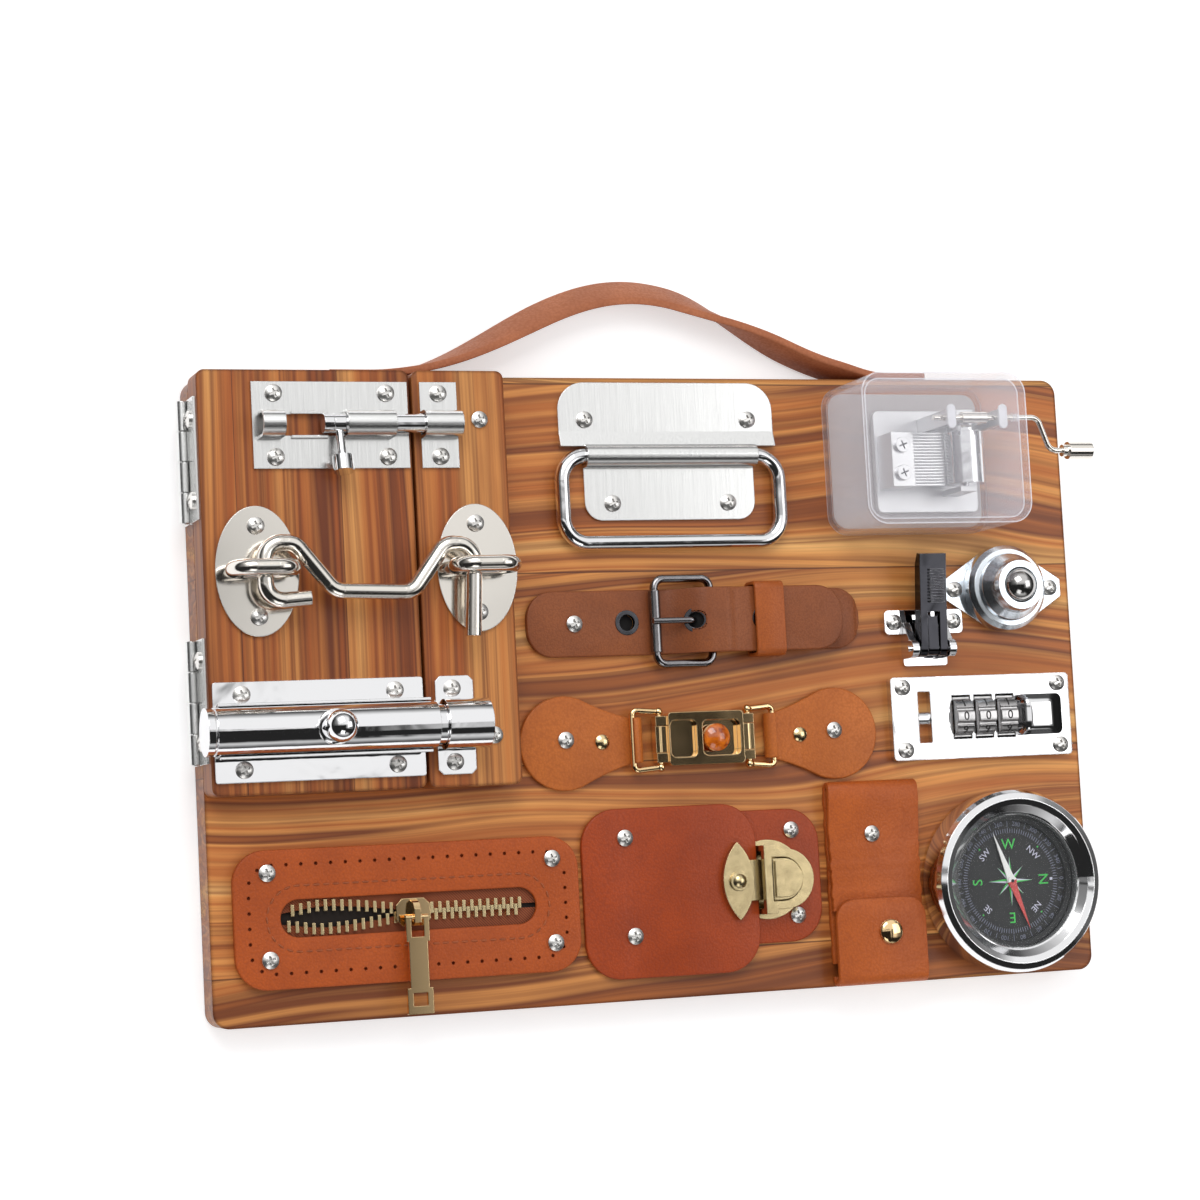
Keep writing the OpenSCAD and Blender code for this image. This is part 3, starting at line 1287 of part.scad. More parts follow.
snap_x = 70.5;
snap_top = bottom + 65.5;
snap_bottom = snap_top - snap_h;
snap_back_z = face + seat;
snap_front_z = snap_back_z + snap_t + 0.5;
snap_flap_z = snap_front_z + snap_t + 0.4;
snap_fold_r = (snap_front_z + snap_t - snap_back_z) / 2;
snap_pivot_y = snap_bottom + 2.6;
snap_pivot_z = snap_back_z + snap_t + (snap_flap_z - snap_back_z) / 2 - snap_t / 2;
snap_outer_r = snap_pivot_z - snap_back_z;
snap_back_start = snap_bottom + snap_outer_r + 3.2;
snap_screw = [snap_x - 1, snap_top - 16.5, snap_front_z + snap_t];
snap_button_y = snap_bottom + 16.5;

// One strip: down the back, round the top fold and down the front as far as the flap covers it
module snap_strap() color(tan_leather) difference() {
    union() {
        translate([snap_x, 0, 0]) along_x(snap_w) {
            translate([snap_back_start, snap_back_z]) square([snap_top - snap_fold_r - snap_back_start, snap_t]);
            translate([snap_bottom + snap_flap_l - 12, snap_front_z])
                square([snap_top - snap_fold_r - snap_bottom - snap_flap_l + 12, snap_t]);
            translate([snap_top - snap_fold_r, snap_back_z + snap_fold_r]) difference() {
                circle(snap_fold_r);
                circle(snap_fold_r - snap_t);
                translate([-10, -10]) square([10, 20]);
            }
        }
    }
    translate(snap_screw) screw_hole(14);
}

// The flap turns up round the bottom fold and snaps on the front layer
module snap_flap() color(tan_leather) {
    translate([snap_x, 0, 0]) along_x(snap_w) {
        translate([snap_pivot_y, snap_pivot_z]) difference() {
            circle(snap_outer_r);
            circle(max(0.3, snap_outer_r - snap_t));
            translate([0, -10]) square([10, 20]);
        }
        translate([snap_pivot_y - lap, snap_back_z]) square([1.2, snap_t]);
    }
    translate([snap_x, snap_pivot_y, snap_pivot_z + snap_outer_r - snap_t]) linear_extrude(snap_t) union() {
        translate([-snap_w / 2, -lap]) square([snap_w, snap_flap_l - 12]);
        translate([0, snap_flap_l / 2 - 1.3]) intersection() {
            rounded_rect(snap_w, snap_flap_l - 2.6, 6.5);
            translate([-snap_w, -snap_flap_l / 2 + 6]) square([2 * snap_w, snap_flap_l]);
        }
    }
    // Brass snap cap
    translate([snap_x + 3, snap_button_y, snap_pivot_z + snap_outer_r - lap]) intersection() {
        cylinder(d = 8, h = 1.6);
        translate([0, 0, 1.6 - 6]) sphere(6);
    }
}

// ---- Compass ----

compass_x = right - 31.2;
compass_y = bottom + 31;
compass_floor = 2;
compass_dial_z = face + compass_h - 8;
compass_glass_z = compass_dial_z + 4.4;
needle_pin_r = 0.5;

module compass_case() color(steel) translate([compass_x, compass_y, face]) rotate_extrude($fn = 96) polygon([
    [0, 0], [compass_d / 2 - 0.6, 0], [compass_d / 2, 1], [compass_d / 2, compass_h - 2.5],
    [compass_d / 2 - 1, compass_h - 0.7], [compass_d / 2 - 3, compass_h],
    [compass_d / 2 - 5, compass_h - 0.8], [compass_dial_d / 2 + 1.2, compass_h - 2.8],
    [compass_dial_d / 2 + 0.6, compass_h - 3], [compass_dial_d / 2 + 0.6, compass_floor], [0, compass_floor]
]);

module compass_dial() color("#1c1d1f") translate([compass_x, compass_y, face + compass_floor]) {
    cylinder(d = compass_dial_d, h = compass_dial_z - face - compass_floor);
    // Raised ring round the rose, and the needle's pivot
    difference() {
        cylinder(d = compass_dial_d + 0.8, h = compass_dial_z - face - compass_floor + 1.4);
        cylinder(d = compass_dial_d - 3, h = 20);
    }
    cylinder(r = needle_pin_r, h = compass_dial_z - face - compass_floor + 1.9);
}

module compass_glass() color("white", 0.2) translate([compass_x, compass_y, compass_glass_z])
    cylinder(d = compass_dial_d + 1, h = 1.2);

module compass_needle() color("#c23b2e") translate([compass_x, compass_y, compass_dial_z + 0.6]) rotate(-70) {
    l = compass_dial_d / 2 - 4.5;
    difference() {
        union() {
            linear_extrude(0.4) polygon([[-l, 0], [-2, -1.2], [0, -1.7], [2, -1.2], [l, 0], [2, 1.2], [0, 1.7], [-2, 1.2]]);
            cylinder(r = 1.5, h = 1);
        }
        translate([0, 0, -1]) cylinder(r = needle_pin_r + fit, h = 2.5);
    }
}

// ---- Carry strap ----

strap_mid_x = -1.5;
strap_tail = 13;
strap_steps = 48;

// Height of the strap's underside over the top edge at a share u, from -1 to 1, of its half span
function strap_height(u) = strap_rise * (1 + cos(180 * u)) / 2 * (0.85 + 0.15 * cos(90 * u));

module carry_strap() color(strap_leather) translate([strap_mid_x, top + seat, board_t / 2 - strap_w / 2])
    linear_extrude(strap_w) {
        half = strap_span / 2;
        path = concat(
            [[-half - strap_tail, 0]],
            [for (i = [0 : strap_steps]) let (u = -1 + 2 * i / strap_steps) [u * half, strap_height(u)]],
            [[half + strap_tail, 0]]
        );
        strap_profile(path, strap_t);
    }

// Every screw that goes into the main board from its front
board_screw_points = concat(
    chest_screws, [belt_screw], clasp_screws, toggle_screws, caster_screws, lock_screws, zip_screws,
    flap_screws, patch_screws, [snap_screw]
);

main_board();
keeper_block();
board_hinge_leaves();
board_screws();
tower_keeper();
cabin_eye_right();
spring_bolt_keeper();
chest_handle_plate();
chest_handle_bail();
music_case();
music_bedplate();
music_comb();
music_drum();
music_crank();
belt_base_strap();
belt_tongue_strap();
leather_rivets();
buckle_frame();
buckle_prong();
belt_keeper_loop();
clasp_straps();
clasp_body();
clasp_bails();
clasp_button();
toggle_base();
toggle_lever();
toggle_hook();
caster_housing();
caster_ball();
lock_plate();
lock_dial_1();
lock_dial_2();
lock_dial_3();
lock_button();
zipper_panel();
zipper_chain();
zipper_slider();
zipper_pull();
flap_leather();
flap_base_patch();
tuck_lock_case();
tuck_lock_button();
tuck_leaf_plate();
snap_strap();
snap_flap();
compass_case();
compass_dial();
compass_glass();
compass_needle();
carry_strap();
door_panel();
door_hinge_leaves();
door_screws();
tower_plate();
tower_rod();
tower_lever();
spring_bolt_case();
spring_bolt_sleeve();
cabin_eye_left();
cabin_hook();
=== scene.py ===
"""Looks of the wooden busy board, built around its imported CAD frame. Lengths are in metres."""

import math
import random

import bmesh
import bpy
from mathutils import Matrix, Vector


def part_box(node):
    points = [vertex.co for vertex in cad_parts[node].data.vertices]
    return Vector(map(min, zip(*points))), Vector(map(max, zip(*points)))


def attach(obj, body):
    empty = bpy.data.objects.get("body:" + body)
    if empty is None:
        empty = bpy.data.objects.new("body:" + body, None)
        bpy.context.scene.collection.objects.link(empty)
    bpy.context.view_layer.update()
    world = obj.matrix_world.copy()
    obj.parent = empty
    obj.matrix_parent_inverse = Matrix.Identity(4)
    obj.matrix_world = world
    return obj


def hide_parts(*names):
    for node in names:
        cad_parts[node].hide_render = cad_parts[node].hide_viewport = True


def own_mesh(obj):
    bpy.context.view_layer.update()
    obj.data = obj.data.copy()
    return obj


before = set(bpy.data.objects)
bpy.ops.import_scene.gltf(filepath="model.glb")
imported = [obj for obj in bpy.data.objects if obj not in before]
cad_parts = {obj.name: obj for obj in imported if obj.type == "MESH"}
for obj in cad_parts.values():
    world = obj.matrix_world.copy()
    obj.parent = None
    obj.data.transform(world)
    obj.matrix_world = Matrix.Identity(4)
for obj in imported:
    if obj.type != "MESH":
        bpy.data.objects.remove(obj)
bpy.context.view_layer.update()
MM = 0.001

# ---- Places taken from the frame ----

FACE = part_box("main_board")[1].z
FACE_MM = FACE / MM
# Gap that leather keeps from what it lies on, and its usual thickness, in millimetres
SEAT = 0.1
LEATHER_T = 1.8


def middle(name):
    low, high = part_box(name)
    return (low + high) / 2


def mm_box(name):
    low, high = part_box(name)
    return low / MM, high / MM


# ---- Node helpers ----


def node(tree, kind, **settings):
    """Adds one shader node; settings named in_NAME set its sockets, the others its properties."""
    made = tree.nodes.new(kind)
    for key, value in settings.items():
        if key.startswith("in_"):
            socket = made.inputs[int(key[3:]) if key[3:].isdigit() else key[3:].replace("_", " ")]
            if isinstance(value, bpy.types.NodeSocket):
                tree.links.new(value, socket)
            else:
                socket.default_value = value
        else:
            setattr(made, key, value)
    return made


def math_node(tree, operation, a, b=None, clamp=False):
    extra = {} if b is None else {"in_1": b}
    return node(tree, "ShaderNodeMath", operation=operation, use_clamp=clamp, in_0=a, **extra).outputs[0]


def times(tree, a, b):
    return math_node(tree, "MULTIPLY", a, b)


def plus(tree, a, b):
    return math_node(tree, "ADD", a, b)


def ramp(tree, value, stops):
    """A colour ramp; stops are (position, colour) with a grey number or an RGB colour."""
    made = node(tree, "ShaderNodeValToRGB", in_Fac=value)
    elements = made.color_ramp.elements
    for i, (position, colour) in enumerate(stops):
        element = elements[i] if i < 2 else elements.new(position)
        element.position = position
        element.color = rgba(colour)
    return made.outputs["Color"]


def rgba(colour):
    if isinstance(colour, (int, float)):
        colour = (colour,) * 3
    return (*colour[:3], 1.0)


def srgb(r, g, b):
    """A colour given as 0 to 255 screen values, as linear light."""
    def linear(c):
        c /= 255
        return c / 12.92 if c <= 0.04045 else ((c + 0.055) / 1.055) ** 2.4
    return tuple(linear(c) for c in (r, g, b))


def mix(tree, factor, a, b, blend="MIX"):
    made = node(tree, "ShaderNodeMix", data_type="RGBA", blend_type=blend, in_0=factor)
    for index, value in ((6, a), (7, b)):
        if isinstance(value, bpy.types.NodeSocket):
            tree.links.new(value, made.inputs[index])
        else:
            made.inputs[index].default_value = rgba(value)
    return made.outputs[2]


def spot(tree):
    """Where the shaded point is, in metres."""
    return node(tree, "ShaderNodeTexCoord").outputs["Object"]


def axes(tree, vector=None):
    """X, Y and Z of a vector, or of the shaded point."""
    return node(tree, "ShaderNodeSeparateXYZ", in_0=vector or spot(tree)).outputs


def noise(tree, coords, detail=2.0, rough=0.5, distortion=0.0):
    return node(tree, "ShaderNodeTexNoise", in_Vector=coords, in_Scale=1.0, in_Detail=detail,
                in_Roughness=rough, in_Distortion=distortion).outputs["Fac"]


def mottle(tree, per_metre, *settings):
    """Noise with so many waves per metre, one number or one for each axis."""
    mapping = node(tree, "ShaderNodeMapping", in_Vector=spot(tree))
    mapping.inputs["Scale"].default_value = per_metre if isinstance(per_metre, tuple) else (per_metre,) * 3
    return noise(tree, mapping.outputs[0], *settings)


def soft_edges(tree, radius):
    """The normal with every edge rounded, and how near an edge the point is, from 0 to 1."""
    bevel = node(tree, "ShaderNodeBevel", samples=4, in_Radius=radius).outputs[0]
    flat = node(tree, "ShaderNodeNewGeometry").outputs["Normal"]
    dot = node(tree, "ShaderNodeVectorMath", operation="DOT_PRODUCT", in_0=bevel, in_1=flat).outputs["Value"]
    return bevel, math_node(tree, "MULTIPLY", math_node(tree, "SUBTRACT", 1.0, dot), 4.0, clamp=True)


def bump(tree, height, distance, strength=1.0, normal=None):
    extra = {} if normal is None else {"in_Normal": normal}
    return node(tree, "ShaderNodeBump", in_Height=height, in_Distance=distance, in_Strength=strength,
                **extra).outputs[0]


def material(name):
    """A new material with its tree and its shader."""
    made = bpy.data.materials.new(name)
    made.use_nodes = True
    tree = made.node_tree
    return made, tree, tree.nodes["Principled BSDF"]


def feed(tree, shader, **values):
    """Sets or links the shader's sockets, named with _ for a space."""
    for key, value in values.items():
        socket = shader.inputs[key.replace("_", " ")]
        if isinstance(value, bpy.types.NodeSocket):
            tree.links.new(value, socket)
        elif isinstance(value, tuple) and socket.type == "RGBA":
            socket.default_value = rgba(value)
        else:
            socket.default_value = value


# ---- Materials ----

PINE_PALE = srgb(238, 180, 108)
PINE_LIGHT = srgb(218, 146, 76)
PINE_MID = srgb(182, 104, 46)
PINE_DARK = srgb(118, 60, 26)
PINE_SCORCHED = srgb(72, 36, 18)


def pine(name, along, plank, wave, tone=(1.0, 1.0, 1.0), shift=0.0):
    """Torched pine of glued strips.

    along is the grain's axis (0 or 1), plank the width of a strip, wave how far the grain bends, tone what
    the colours are multiplied by, and shift moves the strips sideways.
    """
    made, tree, shader = material(name)
    here = axes(tree)
    run, side, depth = here[along], here[1 - along], here[2]
    strip_at = math_node(tree, "DIVIDE", plus(tree, side, 1.0 + shift), plank)
    lot = node(tree, "ShaderNodeTexWhiteNoise", noise_dimensions="1D",
               in_W=math_node(tree, "FLOOR", strip_at)).outputs["Value"]
    lot_away = times(tree, lot, 37.0)

    def grain(run_scale, side_scale, detail, rough, place_of_side):
        at = node(tree, "ShaderNodeCombineXYZ", in_0=times(tree, run, run_scale),
                  in_1=times(tree, place_of_side, side_scale),
                  in_2=plus(tree, lot_away, times(tree, depth, side_scale * 0.5)))
        return noise(tree, at.outputs[0], detail, rough)
    bent = times(tree, math_node(tree, "SUBTRACT", grain(5.0, 11.0, 1.0, 0.4, side), 0.5), wave)
    warped = plus(tree, side, bent)
    bands = grain(1.6, 105.0, 2.0, 0.55, warped)
    lines = grain(3.5, 420.0, 2.0, 0.5, warped)
    fibre = grain(22.0, 1700.0, 3.0, 0.6, warped)
    scorch = grain(14.0, 30.0, 3.0, 0.55, side)
    base = ramp(tree, bands, [(0.30, PINE_PALE), (0.41, PINE_LIGHT), (0.5, PINE_MID), (0.56, PINE_LIGHT),
                              (0.61, PINE_DARK), (0.66, PINE_MID), (0.75, PINE_DARK)])
    for pattern, stops in ((lines, [(0.46, 0.0), (0.62, 0.7), (0.68, 0.1)]), (fibre, [(0.45, 0.0), (0.75, 0.3)]),
                           (scorch, [(0.5, 0.0), (0.78, 0.5)])):
        base = mix(tree, ramp(tree, pattern, stops), base, PINE_DARK)
    strip_tone = ramp(tree, lot, [(i, tuple(level * t for t in tone)) for i, level in enumerate((0.86, 1.06))])
    base = mix(tree, 1.0, base, strip_tone, "MULTIPLY")
    glue = math_node(tree, "LESS_THAN", math_node(tree, "PINGPONG", math_node(tree, "FRACT", strip_at), 0.5), 0.004)
    base = mix(tree, times(tree, glue, 0.7), base, PINE_SCORCHED)
    normal, edge = soft_edges(tree, 1.8 * MM)
    base = mix(tree, times(tree, edge, 0.75), base, PINE_SCORCHED)
    # Painted shade: faces that don't look out of the board are painted darker
    facing = axes(tree, node(tree, "ShaderNodeNewGeometry").outputs["Normal"])[2]
    base = mix(tree, ramp(tree, facing, [(0.1, 0.42), (0.8, 0.0)]), base, PINE_DARK)
    height = plus(tree, times(tree, fibre, 0.5), times(tree, lines, 0.6))
    feed(tree, shader, Base_Color=base, Roughness=ramp(tree, bands, [(0.3, 0.5), (0.7, 0.36)]),
         Specular_IOR_Level=0.4, Normal=bump(tree, height, 0.1 * MM, 0.6, normal))
    return made


def metal(name, colour, rough=0.12, brushed=None, wear=0.0, tint=None, edge_radius=0.35 * MM, smudge=0.06,
          ripple=0.0, rim=None):
    """A metal.

    brushed gives its brush lines per metre along X, Y and Z, wear the share of patina of colour tint,
    smudge how much the roughness varies, ripple the height of slow waves, and rim the colour of a painted
    highlight along its edges.
    """
    made, tree, shader = material(name)
    normal, edge = soft_edges(tree, edge_radius)
    cloud = mottle(tree, 90, 3.0)
    roughness = plus(tree, times(tree, cloud, smudge), rough - smudge / 2)
    shade = colour
    if ripple:
        swell = mottle(tree, 70, 2.0, 0.4, 0.6)
        normal = bump(tree, swell, ripple, 1.0, normal)
    if brushed:
        lines = mottle(tree, brushed, 3.0, 0.7)
        roughness = plus(tree, roughness, times(tree, lines, 0.12))
        normal = bump(tree, lines, 0.02 * MM, 0.35, normal)
        shade = mix(tree, ramp(tree, lines, [(0.3, 0.0), (0.75, 0.35)]), colour, tuple(c * 0.62 for c in colour))
    if wear:
        dull = tint or tuple(c * 0.25 for c in colour)
        patina = mottle(tree, 260, 4.0, 0.6)
        shade = mix(tree, times(tree, ramp(tree, patina, [(0.35, 0.0), (0.7, 1.0)]), wear), shade, dull)
        shade = mix(tree, times(tree, edge, 0.7), shade, tuple(min(1, c * 1.35) for c in colour))
    # Painted highlight: the edges are painted in the rim colour
    if rim:
        shade = mix(tree, edge, shade, rim)
    feed(tree, shader, Base_Color=shade, Metallic=1.0, Roughness=roughness, Normal=normal)
    return made


def leather(name, colour, dark, grain=0.75 * MM, rough=0.5, depth=0.1 * MM):
    """Leather with pebbles of size grain and darker, burnished edges."""
    made, tree, shader = material(name)
    coords = spot(tree)
    stray = node(tree, "ShaderNodeTexNoise", in_Vector=coords, in_Scale=900.0).outputs["Color"]
    stray = node(tree, "ShaderNodeVectorMath", operation="SCALE", in_0=stray, in_Scale=grain * 0.8).outputs[0]
    bend = node(tree, "ShaderNodeVectorMath", operation="ADD", in_0=coords, in_1=stray).outputs[0]
    cells = node(tree, "ShaderNodeTexVoronoi", feature="SMOOTH_F1", in_Vector=bend, in_Scale=1 / grain,
                 in_Smoothness=0.4).outputs["Distance"]
    pores = mottle(tree, 2400, 2.0)
    cloud = mottle(tree, 55, 3.0, 0.55)
    normal, edge = soft_edges(tree, 0.5 * MM)
    shade = mix(tree, ramp(tree, cloud, [(0.3, 0.0), (0.75, 0.55)]), colour, dark)
    shade = mix(tree, ramp(tree, cells, [(0.25, 0.0), (0.8, 0.35)]), shade, dark)
    shade = mix(tree, times(tree, edge, 0.6), shade, dark)
    height = math_node(tree, "SUBTRACT", times(tree, pores, 0.25), cells)
    feed(tree, shader, Base_Color=shade, Roughness=ramp(tree, cells, [(0.0, rough - 0.06), (1.0, rough + 0.14)]),
         Specular_IOR_Level=0.35, Normal=bump(tree, height, depth, 0.8, normal))
    return made


def plain(name, colour, rough, speckle=0.1):
    """Moulded plastic or paint: one colour with a little mottle."""
    made, tree, shader = material(name)
    cloud = mottle(tree, 400, 3.0)
    shade = mix(tree, ramp(tree, cloud, [(0.3, 0.0), (0.7, 1.0)]), colour, tuple(c * (1 - speckle) for c in colour))
    normal, _ = soft_edges(tree, 0.2 * MM)
    feed(tree, shader, Base_Color=shade, Roughness=rough, Normal=bump(tree, cloud, 0.01 * MM, 0.4, normal))
    return made


def clear(name, colour, face_on, edge_on, rim_on):
    """Clear moulded plastic or glass, with its opacity face on, along its wall and extra at its rims."""
    made, tree, shader = material(name)
    facing = node(tree, "ShaderNodeLayerWeight", in_Blend=0.5).outputs["Facing"]
    _, rim = soft_edges(tree, 1.1 * MM)
    veil = ramp(tree, facing, [(0.1, face_on), (0.9, edge_on)])
    haze = mottle(tree, 120, 3.0)
    feed(tree, shader, Base_Color=colour, Roughness=ramp(tree, haze, [(0.3, 0.03), (0.8, 0.07)]),
         Specular_IOR_Level=0.8, Alpha=math_node(tree, "ADD", veil, times(tree, rim, rim_on), clamp=True),
         Normal=bump(tree, haze, 0.03 * MM, 0.15))
    return made


# ---- Camera, at the place and with the lens that fit the photograph's board corners ----

CAMERA_AT = Vector((-338.98, -53.01, 896.97)) * MM
CAMERA_RIGHT = Vector((0.94065, -0.05213, 0.33536))
CAMERA_UP = Vector((0.02008, 0.99495, 0.09834))
LENS = 88.37

camera_data = bpy.data.cameras.new("camera")
camera_data.lens = LENS
camera_data.sensor_width = 36
camera_data.sensor_fit = "HORIZONTAL"
camera = bpy.data.objects.new("camera", camera_data)
bpy.context.collection.objects.link(camera)
camera.matrix_world = Matrix.Translation(CAMERA_AT) @ Matrix(
    (CAMERA_RIGHT, CAMERA_UP, CAMERA_RIGHT.cross(CAMERA_UP))).transposed().to_4x4()
bpy.context.scene.camera = camera
bpy.context.scene.view_settings.view_transform = "Standard"

# ---- Studio ----


def seen_directly(tree):
    """1 for what the camera sees itself or in metal and glass, 0 for light on rough surfaces."""
    path = node(tree, "ShaderNodeLightPath").outputs
    pair = math_node(tree, "ADD", path["Is Camera Ray"], path["Is Glossy Ray"])
    return math_node(tree, "ADD", pair, path["Is Transmission Ray"], clamp=True)


PLAIN_SKY = (0.62, 0.62, 0.63)
CARD_BLACK = 0.02
FLOOR_GLOW = 0.42
FLOOR_REACH = 3.0
LAMPS = (  # name, place, size and power
    ("key", (-0.35, 0.85, 1.05), 0.8, 7.0),
    ("fill", (0.9, 0.1, 1.0), 0.7, 2.6),
    ("low", (-0.2, -0.9, 0.8), 0.5, 1.2),
)


def studio():
    """Plain light for rough surfaces, and a pale room with black cards for metal and glass to mirror."""
    world = bpy.data.worlds.new("studio")
    bpy.context.scene.world = world
    world.use_nodes = True
    tree = world.node_tree
    across, upward, high = axes(tree, node(tree, "ShaderNodeTexCoord").outputs["Generated"])
    aim = plus(tree, times(tree, upward, 0.5), 0.5)
    # A pale room with a dark wall at the board's foot and three dark cards round the lens, each with its stops
    # across and upward, and grey towards the floor and both sides
    cards = ramp(tree, aim, [(0.08, 0.0), (0.14, 1.0), (0.3, 1.0), (0.36, 0.0)])
    for wide, tall in (
        ([(0.26, 1.0), (0.32, 0.0)], [(0.05, 0.0), (0.1, 1.0), (0.5, 1.0), (0.512, 0.0)]),
        ([(0.212, 0.8), (0.24, 0.0)], [(0.53, 0.0), (0.54, 1.0), (0.555, 1.0), (0.565, 0.0)]),
        ([(0.305, 0.0), (0.335, 1.0), (0.385, 1.0), (0.42, 0.0)],
         [(0.08, 0.0), (0.14, 1.0), (0.53, 1.0), (0.55, 0.0)]),
    ):
        cards = math_node(tree, "MAXIMUM", cards, times(tree, ramp(tree, across, wide), ramp(tree, aim, tall)))
    skirt = ramp(tree, high, [(0.12, 0.10), (0.3, 0.45), (0.5, 1.0)])
    sides = ramp(tree, math_node(tree, "ABSOLUTE", across), [(0.55, 1.0), (0.68, 0.3), (0.9, 0.15)])
    shade = mix(tree, cards, mix(tree, 1.0, skirt, sides, "MULTIPLY"), CARD_BLACK)
    tree.links.new(mix(tree, seen_directly(tree), PLAIN_SKY, shade), tree.nodes["Background"].inputs["Color"])
    tree.nodes["Background"].inputs["Strength"].default_value = 1.0

    floor = bpy.data.objects.new("floor", bpy.data.meshes.new("floor"))
    bpy.context.collection.objects.link(floor)
    corners = [(-1, -1), (1, -1), (1, 1), (-1, 1)]
    floor.data.from_pydata([(x * FLOOR_REACH, y * FLOOR_REACH, -0.3 * MM) for x, y in corners], [], [(0, 1, 2, 3)])
    paper, tree, shader = material("floor_paper")
    speck = mottle(tree, 60, 3.0)
    feed(tree, shader, Base_Color=ramp(tree, speck, [(0.3, 0.8), (0.7, 0.82)]), Roughness=0.9,
         Emission_Color=(1.0, 1.0, 1.0), Emission_Strength=times(tree, seen_directly(tree), FLOOR_GLOW))
    floor.data.materials.append(paper)

    for name, at, size, power in LAMPS:
        data = bpy.data.lights.new(name, "AREA")
        data.shape = "SQUARE"
        data.size = size
        data.energy = power
        lamp = bpy.data.objects.new(name, data)
        bpy.context.collection.objects.link(lamp)
        lamp.location = at
        lamp.rotation_euler = (-Vector(at)).to_track_quat("-Z", "Y").to_euler()


studio()

# ---- Finishes of the frame's own nodes ----

CHROME = metal("chrome", (0.84, 0.84, 0.85), 0.07, smudge=0.04, ripple=0.12 * MM)
MIRROR = metal("mirror_chrome", (0.86, 0.86, 0.87), 0.04, smudge=0.02, ripple=0.12 * MM)
# The smoked chrome's edges carry a painted highlight in the rim colour
SMOKED = metal("smoked_chrome", (0.035, 0.035, 0.04), 0.1, ripple=0.2 * MM, edge_radius=0.3 * MM,
               rim=(0.5, 0.5, 0.52))
BALL = metal("ball_steel", (0.55, 0.54, 0.53), 0.12)
LOCK = metal("lock_chrome", (0.80, 0.80, 0.81), 0.05, edge_radius=1.1 * MM, ripple=0.15 * MM)
NICKEL = metal("nickel", (0.80, 0.76, 0.70), 0.13)
SCREWS = metal("screw_nickel", (0.86, 0.84, 0.81), 0.3, wear=0.12, edge_radius=0.2 * MM)
STEEL_X = metal("steel_brushed_along", (0.80, 0.80, 0.81), 0.26, brushed=(60, 3500, 3500))
STEEL_Y = metal("steel_brushed_across", (0.86, 0.86, 0.85), 0.17, brushed=(3500, 60, 3500))
ZINC = metal("zinc", (0.78, 0.83, 0.88), 0.2, wear=0.12, tint=(0.4, 0.43, 0.47))
CAST = metal("zinc_cast", (0.78, 0.78, 0.79), 0.42, smudge=0.15)
GUNMETAL = metal("gunmetal", (0.30, 0.29, 0.30), 0.13, wear=0.25, tint=(0.08, 0.075, 0.08))
GOLD = metal("gold", (0.90, 0.64, 0.34), 0.07)
BRASS = metal("antique_brass", (0.76, 0.61, 0.34), 0.24, wear=0.35, tint=(0.2, 0.15, 0.07))
DIAL = plain("dial_black", srgb(28, 29, 31), 0.55)
CLEAR = clear("clear_case", srgb(244, 244, 252), 0.12, 0.32, 0.85)
GLASS = clear("compass_glass", srgb(240, 244, 244), 0.012, 0.1, 0.1)

TAN = leather("tan_leather", srgb(184, 84, 24), srgb(138, 56, 14), rough=0.4)
BELT = leather("belt_leather", srgb(146, 80, 40), srgb(102, 50, 24), grain=0.6 * MM, rough=0.4, depth=0.05 * MM)
KEEPER = leather("keeper_leather", srgb(176, 90, 32), srgb(126, 58, 18), grain=0.6 * MM, rough=0.4, depth=0.05 * MM)
CLASP = leather("clasp_leather", srgb(196, 108, 40), srgb(144, 70, 24), rough=0.4, depth=0.06 * MM)
STRAP = leather("strap_leather", srgb(184, 112, 74), srgb(140, 78, 48), grain=0.9 * MM, rough=0.5)
FLAP = leather("flap_leather", srgb(168, 66, 18), srgb(124, 44, 12), rough=0.36, depth=0.07 * MM)
SNAP = leather("snap_leather", srgb(186, 92, 30), srgb(142, 62, 20), rough=0.4)
THREAD = plain("orange_thread", srgb(172, 88, 44), 0.6, speckle=0.3)
NEEDLE_TURN = math.radians(-70)


def amber():
    """Orange stone with a brown swirl."""
    made, tree, shader = material("amber")
    swirl = mottle(tree, 420, 3.0, 0.5, 0.6)
    feed(tree, shader, Base_Color=ramp(tree, swirl, [(0.3, srgb(226, 120, 30)), (0.65, srgb(150, 62, 12))]),
         Roughness=0.06, Coat_Weight=1.0, Coat_Roughness=0.03)
    return made


def needle():
    """Red towards the north tip and white towards the south one."""
    made, tree, shader = material("needle")
    centre = middle("compass_dial")
    towards = (math.cos(NEEDLE_TURN), math.sin(NEEDLE_TURN))
    here = axes(tree)
    along = plus(tree, times(tree, here[0], towards[0]), times(tree, here[1], towards[1]))
    zero = centre.x * towards[0] + centre.y * towards[1]
    north = math_node(tree, "GREATER_THAN", along, zero)
    feed(tree, shader, Base_Color=mix(tree, north, srgb(232, 232, 230), srgb(196, 34, 28)), Roughness=0.35,
         Coat_Weight=0.4)
    return made


def domed_button():
    """Chrome whose flat top is bent like a pillow, so it goes black towards its rim."""
    made, tree, shader = material("domed_chrome")
    centre, half = middle("lock_button"), 6 * MM
    sides = []
    for axis in (0, 1):
        away = math_node(tree, "DIVIDE", math_node(tree, "SUBTRACT", axes(tree)[axis], centre[axis]), half)
        sides.append(math_node(tree, "POWER", math_node(tree, "ABSOLUTE", away), 6.0))
    fall = times(tree, plus(tree, *sides), -1.0)
    feed(tree, shader, Base_Color=(0.8, 0.8, 0.81), Metallic=1.0, Roughness=0.05,
         Normal=bump(tree, fall, 1.6 * MM, 1.0, soft_edges(tree, 0.8 * MM)[0]))
    return made


